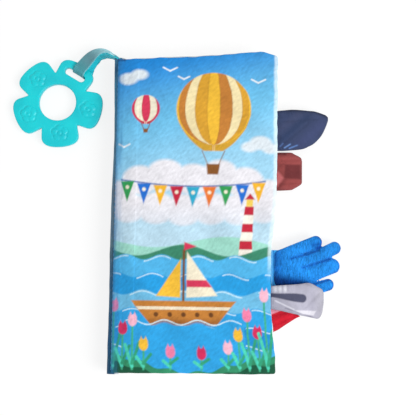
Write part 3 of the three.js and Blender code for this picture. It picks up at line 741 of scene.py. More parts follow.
    def shore(self) -> None:
        """Grassy bank with tulips, taller at both corners."""
        c = self.canvas
        bank = -106 + 6 * np.cos(TAU * c.x / 124 + math.pi) + 1.2 * np.sin(c.x / 3.1)
        c.lay(c.y - bank, "#2f8a63")
        c.lay(c.y - bank + 5, "#0f5238")
        heads = ("#ef7fa6", "#d3285a", "#f6b8cc", "#f2bd38")
        places = [(-55, -68), (-48, -84), (-41, -78), (-33, -95), (-14, -100), (8, -101), (27, -97),
                  (35, -88), (42, -74), (49, -86), (55, -60)]
        for k, (x, y) in enumerate(places):
            c.lay(c.bar(x, -110, x, y, 0.7), "#3fae84")
            c.lay(c.bar(x, -108, x - 5, (y - 108) / 2, 1.1), "#4bd2b4")
            c.lay(c.bar(x, -106, x + 5, (y - 104) / 2, 1.1), "#2f9f78")
            c.lay(c.disc(x, y + 2, 3.3, 4), heads[k % len(heads)])
            for side in (-1.6, 1.6):
                c.lay(c.polygon((x + side - 1.7, y + 4), (x + side + 1.7, y + 4), (x + side, y + 8)),
                      heads[k % len(heads)])


def paint_stripes(c: Canvas, tones: tuple[str, ...]) -> None:
    """Broad slanting stripes."""
    c.lay_in_turn(np.floor((c.x + 0.5 * c.y) / 13).astype(int), tones)


def paint_dots(c: Canvas, tones: tuple[str, ...]) -> None:
    """Staggered rows of dots."""
    pitch = 19.0
    row = np.round(c.y / pitch).astype(int)
    shifted = c.x - (row % 2) * pitch / 2
    column = np.round(shifted / pitch).astype(int)
    distance = np.hypot(shifted - column * pitch, c.y - row * pitch) - 5.5
    c.lay_in_turn(row + column, tones, distance)


def paint_waves(c: Canvas, tones: tuple[str, ...]) -> None:
    """Rolling rows from edge to edge."""
    c.lay_in_turn(np.floor((c.y + 4 * np.sin(TAU * c.x / 34)) / 15).astype(int), tones)


def paint_checks(c: Canvas, tones: tuple[str, ...]) -> None:
    """Large checks."""
    c.lay_in_turn((np.floor(c.x / 20) + np.floor(c.y / 20)).astype(int), tones)


def paint_rainbow(c: Canvas, tones: tuple[str, ...]) -> None:
    """Arch of bands over a plain ground."""
    ring = np.hypot(c.x - 4, c.y + 40)
    for k, tone in enumerate(tones):
        c.lay(np.abs(ring - 62 + 9 * k) - 4.2, tone)
    c.lay(c.y + 40, "#9dd9c8")


def paint_sun(c: Canvas, tones: tuple[str, ...]) -> None:
    """Sun with straight rays over two hills."""
    turn = np.arctan2(c.y - 40, c.x - 6)
    ray = np.hypot(c.x - 6, c.y - 40) - 34 - 5 * np.sign(np.sin(8 * turn))
    c.lay(ray, tones[0])
    c.lay(c.disc(6, 40, 24), tones[-1])
    c.lay(c.y + 30 - 12 * np.sin(c.x / 24), "#9dd9c8")
    c.lay(c.y + 56 - 9 * np.sin(c.x / 19 + 2), "#4fae86")


@dataclass(frozen=True)
class Page:
    """The print of one page: one of the generic patterns, on its own ground."""

    painter: Callable[[Canvas, tuple[str, ...]], None]
    ground: str
    tones: tuple[str, ...]

    def paint(self, x: np.ndarray, y: np.ndarray, seed: int) -> np.ndarray:
        """Linear colours of the page at each point."""
        canvas = Canvas(x, y, self.ground)
        self.painter(canvas, self.tones)
        return canvas.brushed(seed)


@dataclass(frozen=True)
class BookSizes:
    """Sizes that the covers, the leaves and the spine share, in millimetres and degrees."""

    width: float = 120.0
    height: float = 228.0
    cover_thickness: float = 3.6
    leaf_thickness: float = 3.0
    leaf_count: int = 5
    leaf_inset: float = 0.5
    gap: float = 0.3
    corner: float = 2.8
    fore_edge_rise: float = 1.8
    top_peak: float = 4.7
    top_peak_inset: float = 14.0
    top_peak_start: float = 16.0
    top_peak_left_share: float = 0.15
    draw_in: float = 3.9
    draw_centre: float = -45.6
    draw_reach: float = 64.0
    draw_flat: float = 16.0
    roll_radius: float = 4.5
    cloth: float = 0.6
    open_cover_height: float = 9.5
    front_root_angle: float = 36.0
    root_angle_step: float = 19.0
    bend_reach: float = 18.0

    @property
    def layers(self) -> int:
        """Covers and leaves together."""
        return self.leaf_count + 2

    @property
    def thickness(self) -> float:
        """Thickness of the closed book."""
        leaves = self.leaf_count * self.leaf_thickness + (self.leaf_count + 1) * self.gap
        return 2 * self.cover_thickness + leaves

    @property
    def spine_x(self) -> float:
        """Place of the spine's outer side."""
        return -self.width / 2

    @property
    def axis_x(self) -> float:
        """Place of the line that every cover and leaf turns about."""
        return self.spine_x + self.roll_radius

    @property
    def axis_z(self) -> float:
        """Height of the line that every cover and leaf turns about."""
        return (self.thickness + self.open_cover_height) / 2

    def drawn_in(self, y: np.ndarray | float, reach: float | None = None) -> np.ndarray:
        """How far the stuffing draws the fore-edge in at each height, over the covers' reach or another."""
        reach = reach or self.draw_reach
        left = np.clip((reach - np.abs(y - self.draw_centre)) / (reach - self.draw_flat), 0, 1)
        return self.draw_in * (0.6 * left + 0.4 * ease(0, 1, left))

    def fore_edge(self, y: np.ndarray | float) -> np.ndarray:
        """Place of the leaves' fore-edge at each height."""
        return self.width / 2 - self.leaf_inset - self.drawn_in(y)

    def on_roll(self, radius: float, degrees: np.ndarray | float) -> np.ndarray:
        """Place in the XZ plane at a radius and an angle about the roll's axis."""
        turn = np.radians(np.atleast_1d(degrees))
        return np.stack([self.axis_x + radius * np.cos(turn), self.axis_z + radius * np.sin(turn)], -1)

    def layer(self, index: int) -> tuple[float, float, float]:
        """Thickness, inset and middle height of one layer, counted up from the back cover."""
        cover = index in (0, self.layers - 1)
        thickness = self.cover_thickness if cover else self.leaf_thickness
        leaves = max(index - 1, 0)
        below = 0.0 if index == 0 else self.cover_thickness + leaves * self.leaf_thickness + index * self.gap
        return thickness, 0.0 if cover else self.leaf_inset, below + thickness / 2

    def leaf_middle(self, leaf: int) -> float:
        """Middle height of one leaf, counted down from the front cover."""
        return self.layer(self.leaf_count + 1 - leaf)[2]


BOOK = BookSizes()


@dataclass
class Pad:
    """One cover or leaf: a flat stuffed pillow sewn round its edge and held by its root in the spine."""

    name: str
    index: int
    upper_page: Page
    lower_page: Page
    columns: int = 76
    rows: int = 128
    reach: float = 45.0
    crowding: float = 0.62
    corner: float = BOOK.corner
    seam: float = 0.7
    crown_run: float = 8.0
    root_run: float = 20.0
    pucker: float = 0.12
    wobble: float = 0.25
    seed: int = 1

    def centre_line(self) -> np.ndarray:
        """Points in the XZ plane from the root on the roll, round the bend, to the fore-edge."""
        inset, middle = BOOK.layer(self.index)[1:]
        angle = math.radians(BOOK.front_root_angle - (BOOK.layers - 1 - self.index) * BOOK.root_angle_step)
        way = np.array([math.cos(angle), math.sin(angle)])
        axis = np.array([BOOK.axis_x, BOOK.axis_z])
        root = axis + way * (BOOK.roll_radius + BOOK.gap)
        rise = middle - BOOK.axis_z
        limit = 0.6 * BOOK.bend_reach
        run = (rise - (root - axis)[1]) / way[1]
        corner_x = (root - axis)[0] + run * way[0]
        if run <= 0 or corner_x >= limit:
            corner_x = limit
        corner = axis + (corner_x, rise)
        end = axis + (BOOK.bend_reach, rise)
        handle = root + way * 0.75 * np.linalg.norm(corner - root)
        bend = bezier(root, handle, end + 0.75 * (corner - end), end, 40)
        return np.vstack([bend, [BOOK.width / 2 - inset, middle]])

    def ends_at(self, x: np.ndarray) -> tuple[np.ndarray, np.ndarray]:
        """Lowest and highest Y of the outline before its corners are rounded."""
        inset = BOOK.layer(self.index)[1]
        slope = BOOK.fore_edge_rise * (x - BOOK.spine_x) / BOOK.width
        peak = BOOK.width / 2 - BOOK.top_peak_inset
        start = BOOK.spine_x + BOOK.top_peak_start
        climb = np.clip((x - start) / (peak - start), 0, 1)
        left = BOOK.top_peak_left_share
        fall = left + (1 - left) * (1 - np.clip((x - peak) / BOOK.top_peak_inset, 0, 1))
        rise = BOOK.top_peak * np.where(x <= peak, climb, fall)
        return -BOOK.height / 2 + inset + slope, BOOK.height / 2 - inset + slope + rise

    def rows_at(self, x: np.ndarray) -> tuple[np.ndarray, np.ndarray]:
        """Lowest and highest Y of the outline at each distance from the spine."""
        low, high = self.ends_at(x)
        edge = BOOK.width / 2 - BOOK.layer(self.index)[1]
        beyond = np.clip(self.corner - (edge - x), 0, self.corner)
        drop = self.corner - np.sqrt(self.corner ** 2 - beyond ** 2)
        tug = self.wobble * Ripple(self.seed + 5, 11).at(x)
        return low + drop + 0.5 * tug, high - drop + tug

    def faces(self) -> tuple[np.ndarray, np.ndarray, np.ndarray]:
        """Upper grid, lower grid and flat cloth coordinates of the pillow."""
        line = self.centre_line()
        place = places_along(line)
        s = place[-1] * denser_ends(self.columns, self.crowding)
        x = np.interp(s, place, line[:, 0])
        z = np.interp(s, place, line[:, 1])
        along = unit_rows(np.gradient(np.stack([x, z], -1), s, axis=0))
        low, high = self.rows_at(x)
        y = low[:, None] + (high - low)[:, None] * denser_ends(self.rows, self.crowding)[None, :]
        depth = np.minimum(y - low[:, None], high[:, None] - y)
        from_edge = (place[-1] - s)[:, None]
        full = soft_crown(s, self.root_run)[:, None] * crown(from_edge, self.crown_run) * crown(depth, self.crown_run)
        thickness = BOOK.layer(self.index)[0]
        half = self.seam / 2 + (thickness - self.seam) / 2 * full
        half = half - self.puckers(x[:, None], y, from_edge, depth) * full
        pull = self.pull(y) * np.clip((x[:, None] - BOOK.spine_x) / BOOK.width, 0, 1)
        across = x[:, None] - pull
        grids = []
        for side in (1, -1):
            grids.append(np.stack([across - side * along[:, 1:] * half, y,
                                   z[:, None] + side * along[:, :1] * half], -1))
        flat = np.stack([np.broadcast_to(x[:, None], y.shape), y], -1)
        return grids[0], grids[1], flat

    def pull(self, y: np.ndarray) -> np.ndarray:
        """How far the stuffing draws the fore-edge in at each height."""
        return BOOK.drawn_in(y, self.reach) + self.wobble * Ripple(self.seed + 9, 12).at(y)

    def puckers(self, x: np.ndarray, y: np.ndarray, from_edge: np.ndarray, depth: np.ndarray) -> np.ndarray:
        """Small gathers that run in from the seams and die away."""
        along_rows = 0.5 + 0.5 * Ripple(self.seed, 6).at(x + 0 * y, 0.3 * y)
        along_edge = 0.5 + 0.5 * Ripple(self.seed + 3, 7).at(0.3 * x + 0 * y, y)
        fade = 7.0
        return self.pucker * (along_rows * np.exp(-depth / fade) + along_edge * np.exp(-from_edge / fade)
                              + 0.35 * (0.5 + 0.5 * Ripple(self.seed + 7, 30).at(x + 0 * y, y)))

    def colours(self, flat: np.ndarray) -> tuple[np.ndarray, np.ndarray]:
        """Linear colours of the upper and the lower face, bare and pale along the seam."""
        x, y = flat[..., 0], flat[..., 1]
        border = 0.85 * ease(3.0, 1.0, np.minimum(from_ends(y), x.max() - x))[..., None]
        pages = []
        for page, seed in ((self.upper_page, self.seed + 20), (self.lower_page, self.seed + 30)):
            print_ = supersampled(lambda u, v: page.paint(u, v, seed), flat)
            pages.append(print_ * (1 - border) + linear("#f1f3f2") * border)
        return pages[0], pages[1]

    def build(self, upper_node: str, lower_node: str, body: str, finishes: Finishes) -> None:
        """Makes the pillow, dresses it and lets it ride on its body.

        Args:
            upper_node: Suffix of the upper panel's node.
            lower_node: Suffix of the lower panel's node.
            body: Body that carries the pad.
            finishes: The book's materials.
        """
        upper, lower, flat = self.faces()
        piece = shell(f"{self.name}_case", upper, lower, flat, *self.colours(flat))
        dress(piece, finishes.cloth)
        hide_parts(f"{self.name}_{upper_node}", f"{self.name}_{lower_node}")
        self.attach(piece, body)
        for inner, material in (("wadding", finishes.wadding), ("film", finishes.film)):
            dress(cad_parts[f"{self.name}_{inner}"], material)
        LOG.info("%s: %d points", piece.name, len(piece.data.vertices))

    def attach(self, piece: bpy.types.Object, body: str) -> None:
        """Lets the pillow ride on its body."""
        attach(piece, body)


@dataclass
class FrontCover(Pad):
    """The front cover, whose outer cloth runs on over the roll to the line of stitches."""

    hem_angle: float = 99.0
    skin_radius: float = 5.0
    under_radius: float = 4.5
    top_line: tuple[tuple[float, float], ...] = (
        (-61, 113.2), (-56, 113.6), (-52, 112.9), (-40, 112.9), (-33, 113.4), (-26, 114.2), (-8, 114.4), (2, 115.2),
        (14, 116.3), (31, 117.9), (40, 118.9), (47, 119.6), (50, 119.2), (55, 117.9), (60, 116.4),
    )
    bottom_line: tuple[tuple[float, float], ...] = ((-61, -113.2), (6, -112.4), (40, -112.7), (60, -112.0))
    gutter_angle: float = 76.0
    gutter_end: float = 15.0
    roll_columns: int = 12
    least_shoulder: float = 0.25

    def ends_at(self, x: np.ndarray) -> tuple[np.ndarray, np.ndarray]:
        """Lowest and highest Y, along the cover's own uneven edges."""
        lines = (np.array(self.bottom_line), np.array(self.top_line))
        return tuple(np.interp(x, line[:, 0], line[:, 1]) for line in lines)

    def colours(self, flat: np.ndarray) -> tuple[np.ndarray, np.ndarray]:
        """Linear colours of the picture outside and of the plain print inside."""
        inside = super().colours(flat)[1]
        return supersampled(lambda u, v: CoverPicture(u, v).paint(), flat), inside

    def gutter(self) -> np.ndarray:
        """Outer line in the XZ plane from the hem over the roll and up to the pad's full height."""
        over = BOOK.on_roll(self.skin_radius, np.linspace(self.hem_angle, self.gutter_angle, 8))
        turn = math.radians(self.gutter_angle)
        leave = over[-1] + 5 * np.array([math.sin(turn), -math.cos(turn)])
        top = BOOK.layer(self.index)[2] + BOOK.cover_thickness / 2
        end = np.array([BOOK.axis_x + self.gutter_end, top])
        return np.vstack([over[:-1], bezier(over[-1], leave, end - (6, 0), end, 20)])

    def faces(self) -> tuple[np.ndarray, np.ndarray, np.ndarray]:
        """Grids of the pillow, with extra columns over the roll at the spine."""
        upper, lower, flat = super().faces()
        root_angle = BOOK.front_root_angle
        angles = np.linspace(self.hem_angle, root_angle + 4, self.roll_columns)
        over = BOOK.on_roll(self.skin_radius, angles)
        under = BOOK.on_roll(self.under_radius, angles)
        y = upper[0, :, 1]
        upper = np.concatenate([swept(over, y), upper])
        lower = np.concatenate([swept(under, y), lower])
        gutter = self.gutter()
        first = np.concatenate([over[:, 0], flat[:, 0, 0]])
        evened = np.maximum.accumulate(np.minimum(upper[:, upper.shape[1] // 2, 0], first + 2))
        top = np.interp(evened, gutter[:, 0], gutter[:, 1])
        inside = first < BOOK.axis_x + self.gutter_end
        line = self.centre_line()
        middle = np.concatenate([under[:, 1], np.interp(flat[:, 0, 0], line[:, 0], line[:, 1])])
        shoulder = np.maximum(crown(from_ends(upper[..., 1]), self.crown_run), self.least_shoulder)
        height = middle[:, None] + (top - middle)[:, None] * shoulder
        upper[inside, :, 0] = evened[inside, None]
        upper[inside, :, 2] = height[inside]
        lead = over[:, 0] - over[-1, 0] + flat[0, 0, 0]
        hem = np.stack(np.meshgrid(lead, y, indexing="ij"), -1)
        return upper, lower, np.concatenate([hem, flat])

    def attach(self, piece: bpy.types.Object, body: str) -> None:
        """Keeps the cover's cloth, which already runs round the roll, fixed in place instead of on a body."""
        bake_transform(piece)


@dataclass
class Spine:
    """The spine cloth, the roll of sewn margins inside it and the line of stitches that holds them."""

    over_angle: float = 62.0
    under_angle: float = 235.0
    hem_run: float = 3.0
    foot_radius: float = 2.4
    foot_reach: float = 11.0
    side_drop: float = 8.0
    rows: int = 260
    profile: int = 90
    stitch_angle: float = 97.0
    stitch_pitch: float = 4.0
    stitch_length: float = 2.7
    thread_radius: float = 0.22
    draw: float = 0.35
    slack: float = 0.4
    waist: float = 1.3
    waist_place: float = 55.0
    waist_half: float = 36.0
    ridges: int = 19

    def pinched(self, x: np.ndarray, y: np.ndarray) -> np.ndarray:
        """Places across the spine, with its side drawn in between the table and the stitches."""
        seam = BOOK.axis_x - 0.8
        drawn = 0.25 + self.waist * bell(y - self.waist_place, self.waist_half) + 0.35 * bell(y + 62, 20)
        share = np.clip((seam - x) / (seam - BOOK.spine_x), 0, 1)
        return x + drawn * share

    def outer_line(self, inward: float) -> np.ndarray:
        """Line of the spine cloth in the XZ plane, moved in by a share of its thickness."""
        x, foot = BOOK.spine_x + self.slack, self.foot_radius
        radius = BOOK.roll_radius - self.slack - inward
        over = BOOK.on_roll(radius, np.linspace(self.over_angle, self.under_angle, 40))
        turn = np.linspace(math.pi, 1.5 * math.pi, 10)
        heel = np.stack([x + foot + (foot - inward) * np.cos(turn), foot + (foot - inward) * np.sin(turn)], -1)
        side = [[x + inward, self.side_drop]]
        end = [[x + self.foot_reach, inward]]
        return resample(np.vstack([over, side, heel, end]), self.profile)

    def cloth(self, finishes: Finishes) -> None:
        """The printed cloth round the spine, in a blue that pales in the middle, with painted shade over the whole
        side and at a small fold near the top.
        """
        y = np.linspace(-BOOK.height / 2, BOOK.height / 2, self.rows)
        place = np.linspace(0, 1, self.profile)
        grids = []
        for inward in (0.0, BOOK.cloth - 0.1):
            line = self.outer_line(inward)
            dent = self.draw * (0.5 + 0.5 * Ripple(41, 14).at(40 * place[:, None], y[None, :]))
            dent = dent * np.sin(math.pi * place)[:, None] ** 2
            grid = swept(line, y)
            grid[..., 0] = self.pinched(grid[..., 0], y) + dent
            grids.append(grid)
        flat = np.stack(np.meshgrid(place * 40, y, indexing="ij"), -1)
        run_on = CoverPicture(BOOK.spine_x + self.hem_run - flat[..., 0], flat[..., 1]).paint()
        canvas = Canvas(flat[..., 0], flat[..., 1], "#5c9cba")
        canvas.wash(ease(90, 40, flat[..., 1]), "#6a93a8")
        canvas.wash(ease(40, 0, flat[..., 1]), "#6c8596")
        canvas.wash(ease(-20, -60, flat[..., 1]), "#235478")
        canvas.wash(ease(-60, -100, flat[..., 1]), "#104770")
        # The two weights add to 0.82: painted shade on the spine's side.
        canvas.rgb = 0.5 * canvas.rgb + 0.32 * run_on
        streaks = 0.5 + 0.5 * Ripple(57, 1.6).at(flat[..., 0], 0.12 * flat[..., 1])
        canvas.wash(0.35 * streaks, "#1c4c70")
        # Painted shade of a small fold near the top of the spine.
        canvas.wash(0.6 * bell(flat[..., 1] - 105, 4) * ease(2, 5, flat[..., 0]), "#0b3f6c")
        paint = canvas.brushed(51, 0.08)
        piece = shell("spine_cloth", grids[0][::-1], grids[1][::-1], flat[::-1], paint[::-1], paint[::-1])
        dress(piece, finishes.cloth)
        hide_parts("spine_wrap")
        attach(piece, "root")

    def roll(self, finishes: Finishes) -> None:
        """The cord of sewn margins, with one soft ridge for each ply."""
        sides, rows = 72, 20
        turn = np.linspace(0, TAU, sides, endpoint=False)
        degrees = np.degrees(turn)
        covered = (degrees > self.over_angle - 4) & (degrees < self.under_angle + 2)
        radius = np.where(covered, BOOK.roll_radius - self.slack - BOOK.cloth - 0.1, BOOK.roll_radius - 0.05)
        radius = radius - 0.12 * (1 + np.sin(self.ridges * turn))
        y = np.linspace(-BOOK.height / 2, BOOK.height / 2, rows)
        x = BOOK.axis_x + radius[:, None] * np.cos(turn)[:, None] + 0 * y
        x = self.pinched(x, y)
        z = BOOK.axis_z + radius[:, None] * np.sin(turn)[:, None] + 0 * y
        points = np.stack([x, y + 0 * x, z], -1).reshape(-1, 3)
        at = np.arange(sides * rows).reshape(sides, rows)
        after = np.roll(at, -1, axis=0)
        walls = np.stack([at[:, :-1], at[:, 1:], after[:, 1:], after[:, :-1]], -1).reshape(-1, 4)
        faces = walls.tolist() + [at[:, 0].tolist(), at[::-1, -1].tolist()]
        cloth = np.stack([np.broadcast_to(turn[:, None] * BOOK.roll_radius, x.shape), y + 0 * x], -1)
        tint = 0.9 + 0.1 * np.sin(self.ridges * np.repeat(turn, rows))
        colours = linear("#c5d0d8") * tint[:, None]
        piece = make_object("spine_margin_roll", points, faces, cloth.reshape(-1, 2), colours)
        dress(piece, finishes.cloth)
        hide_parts("spine_margin")
        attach(piece, "root")

    def stitches(self, finishes: Finishes) -> None:
        """One line of straight stitches down the spine, each a short rounded length of thread."""
        centre = BOOK.on_roll(BOOK.roll_radius + BOOK.cloth + 0.02, self.stitch_angle)[0]
        count = int((BOOK.height - 6) / self.stitch_pitch)
        points, faces = [], []
        sides = 8
        shares = np.array([0, 0.06, 0.16, 0.5, 0.84, 0.94, 1])
        swell = np.array([0.2, 0.7, 1, 1, 1, 0.7, 0.2])
        sink = np.array([0.5, 0.2, 0, 0, 0, 0.2, 0.5])
        for k in range(count):
            low = -BOOK.height / 2 + 3 + k * self.stitch_pitch
            first = len(points)
            for share, wide, down in zip(shares, swell, sink):
                for side in range(sides):
                    turn = TAU * side / sides
                    radius = self.thread_radius * wide
                    points.append((centre[0] + radius * math.cos(turn), low + share * self.stitch_length,
                                   centre[1] - self.thread_radius * down + radius * math.sin(turn)))
            for ring in range(len(shares) - 1):
                for side in range(sides):
                    a = first + ring * sides + side
                    b = first + ring * sides + (side + 1) % sides
                    faces.append((a, a + sides, b + sides, b))
            faces.append(tuple(first + side for side in range(sides)))
            last = first + (len(shares) - 1) * sides
            faces.append(tuple(last + side for side in reversed(range(sides))))
        piece = make_object("spine_stitches", np.array(points), faces)
        dress(piece, finishes.thread)
        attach(piece, "root")

    def build(self, finishes: Finishes) -> None:
        """Makes the three pieces of the spine."""
        self.roll(finishes)
        self.cloth(finishes)
        self.stitches(finishes)


@dataclass
class FlatTail:
    """A flat cloth tail: two printed plies sewn round their edge and turned, held in one leaf's fore-edge."""

    name: str
    leaf: int
    nodes: tuple[str, ...]
    slot: str
    length: float
    width: float
    low: float
    droop: float
    shares: tuple[tuple[float, float, float], ...]
    painter: Callable[[Canvas], None]
    ground: str
    folds: tuple[tuple[float, float, float, float], ...] = ()
    fold_depth: float = 0.5
    fold_half: float = 1.3
    columns: int = 110
    rows: int = 90
    seam: float = 0.45
    fill: float = 1.5
    curl: float = 0.5
    seed: int = 3

    def creased(self, x: np.ndarray, y: np.ndarray, root: np.ndarray) -> np.ndarray:
        """Depth of the tail's soft folds, each from one share of its length and width to another."""
        depth = 0 * x
        canvas = Canvas(x - root, y - self.low, self.ground)
        for ax, ay, bx, by in self.folds:
            near = canvas.bar(ax * self.length, ay * self.width, bx * self.length, by * self.width, 0.0)
            depth = np.maximum(depth, self.fold_depth * bell(near, self.fold_half))
        return depth

    def build(self, finishes: Finishes) -> None:
        """Makes the tail, drooping from its leaf's fore-edge, and fixes it in place."""
        table = through(np.array(self.shares), self.columns)
        along = np.clip(table[:, 0], 0, 1) * self.length
        share = denser_ends(self.rows)
        y = self.low + self.width * (table[:, 1:2] + (table[:, 2:3] - table[:, 1:2]) * share[None, :])
        middle = BOOK.leaf_middle(self.leaf)
        root = BOOK.fore_edge(y) - 0.3
        x = root + along[:, None] * (1 + 0.3 / self.length)
        edge = np.minimum(share, 1 - share)[None, :] * self.width * (table[:, 2:3] - table[:, 1:2])
        tip = (along[-1] - along)[:, None] + 0 * y
        full = crown(edge, 3.5) * crown(tip, 3.5) * (0.35 + 0.65 * ease(0, 6, along))[:, None]
        pucker = 0.12 * Ripple(self.seed + 2, 4).at(x, y) * np.exp(-np.minimum(edge, tip) / 4)
        half = self.seam / 2 + self.fill / 2 * full
        top = half - (self.creased(x, y, root) - pucker) * full
        sway = self.curl * Ripple(self.seed, 20).at(x, y) * ease(0, 12, along)[:, None]
        z = middle - self.droop * (along[:, None] / self.length) ** 2 + sway
        upper = np.stack([x, y, z + top], -1)
        lower = np.stack([x, y, z - half], -1)
        flat = np.stack([x, y], -1)
        canvas = Canvas(x, y, self.ground)
        self.painter(canvas)
        # Painted shade: darker towards the sewn edge and the tip, where the stuffed cloth rolls under.
        canvas.wash(0.3 * np.exp(-np.minimum(edge, tip) / 0.9), "#2a2f3c")
        back = Canvas(x, y, self.ground)
        piece = shell(self.name, upper, lower, flat, canvas.brushed(self.seed, 0.06), back.brushed(self.seed, 0.06))
        dress(piece, finishes.cloth)
        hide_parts(*self.nodes)
        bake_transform(piece)


def paint_grey_tail(c: Canvas) -> None:
    """Long dark half-oval, a pale band along the lower edge and three pale bumps at the root, with painted shade
    towards the root and between the bumps and the painted shadow of the cover's edge.
    """
    # Painted shade: darker towards the root.
    c.wash(0.5 * ease(72, 60, c.x), "#a3a2b4")
    c.wash(0.4 * ease(86, 95, c.x), "#bcbac2")
    oval = c.bar(50, -56.2, 79.3, -58.8, 0.0) - 1.4 - 1.6 * ease(57, 76, c.x)
    c.lay(oval, "#4b4d64", 1.0)
    # Painted shade on the oval towards the root.
    c.wash(0.35 * (oval < 0) * ease(62, 56, c.x), "#2f3348")
    c.lay(c.bar(67, -65.9, 87, -72.2, 0.3), "#878497", 0.8)
    c.lay(c.bar(59.6, -60.7, 73, -66.8, 0.5), "#d9d8e4", 0.8)
    c.lay(c.polygon((73.5, -67.6), (79.7, -70.0), (87.6, -70.9), (89.3, -67.7), (75.7, -67.3)), "#dddbe5", 1.0)
    for x in (59.9, 63.1, 66.7):
        c.lay(c.disc(x, -52.2, 1.1, 1.7), "#dfe0e8", 2.4)
        # Painted shade between the bumps.
        c.wash(0.5 * bell(c.x - x - 1.7, 0.6) * ease(-55, -53, c.y), "#8d8b9a")
    # Painted shadow of the cover's edge across the root.
    c.wash(0.8 * ease(57.4, 56.2, c.x), "#2b4680")
    c.smudge(81.9, -48.4, 85.6, -49.9, 1.0, 0.3, "#77727c")


def paint_navy_tail(c: Canvas) -> None:
    """Painted shade in the top fold, greyer slanting streaks and a few pale strokes at the lower left."""
    # The last two streaks, along the top edge, are painted shade in the top fold.
    for streak in ((60, 52, 82, 73, 2.6, 0.6, "#24365a"), (62, 63, 76, 75, 2.6, 0.5, "#434a6b"),
                   (78, 53, 93, 68, 4.5, 0.5, "#414a76"), (58, 77.8, 86, 78.6, 1.5, 0.9, "#1c2540"),
                   (86, 78.4, 97, 75.5, 1.4, 0.9, "#1c2540")):
        c.smudge(*streak)
    for ax, ay, bx, by, tone in ((62.5, 50.9, 64.7, 53.3, "#4f6a9e"), (65.8, 50.0, 69.9, 52.8, "#6a90cc"),
                                 (69.4, 49.8, 75.3, 52.3, "#5f84c2")):
        c.lay(c.bar(ax, ay, bx, by, 0.4), tone, 0.9)


def paint_russet_tail(c: Canvas) -> None:
    """Flat patches: a dark square in the middle, a paler wedge at the root, paler along the top and at the lower tip,
    a dark stroke at the root and a painted shadow along the top of the root.
    """
    c.wash(0.6 * ease(38.4, 40, c.y), "#a14c4b")
    c.wash(0.55 * ease(28.6, 27, c.y) * ease(64, 69, c.x), "#a44c4b")
    c.lay(c.polygon((66.4, 28.9), (78.6, 28.3), (78.3, 38.9), (67, 38.7)), "#6f2e30", 1.2)
    c.lay(c.polygon((59, 22.5), (61.5, 22.5), (66, 28.6), (62, 33.6), (59, 33)), "#bb6466", 1.8)
    c.smudge(62, 21, 67.5, 28, 1.6, 0.5, "#6d2b2d")
    # Painted shadow of the navy tail, which lies over the top of this one.
    c.smudge(59, 47, 67, 46.6, 1.5, 0.6, "#4c1d1f")


def paint_red_tail(c: Canvas) -> None:
    """Pink patch at the root, pale pink along the lower edge and painted shade towards the root."""
    # Painted shade: darker towards the root.
    c.wash(0.5 * ease(66, 58, c.x), "#b8142b")
    c.lay(c.polygon((54, -60), (54, -72.4), (66.4, -67.2), (66, -60)), "#f19bb0", 1.0)
    c.lay(c.bar(58, -86, 80, -72.6, 0.8), "#f7bcc8", 1.2)


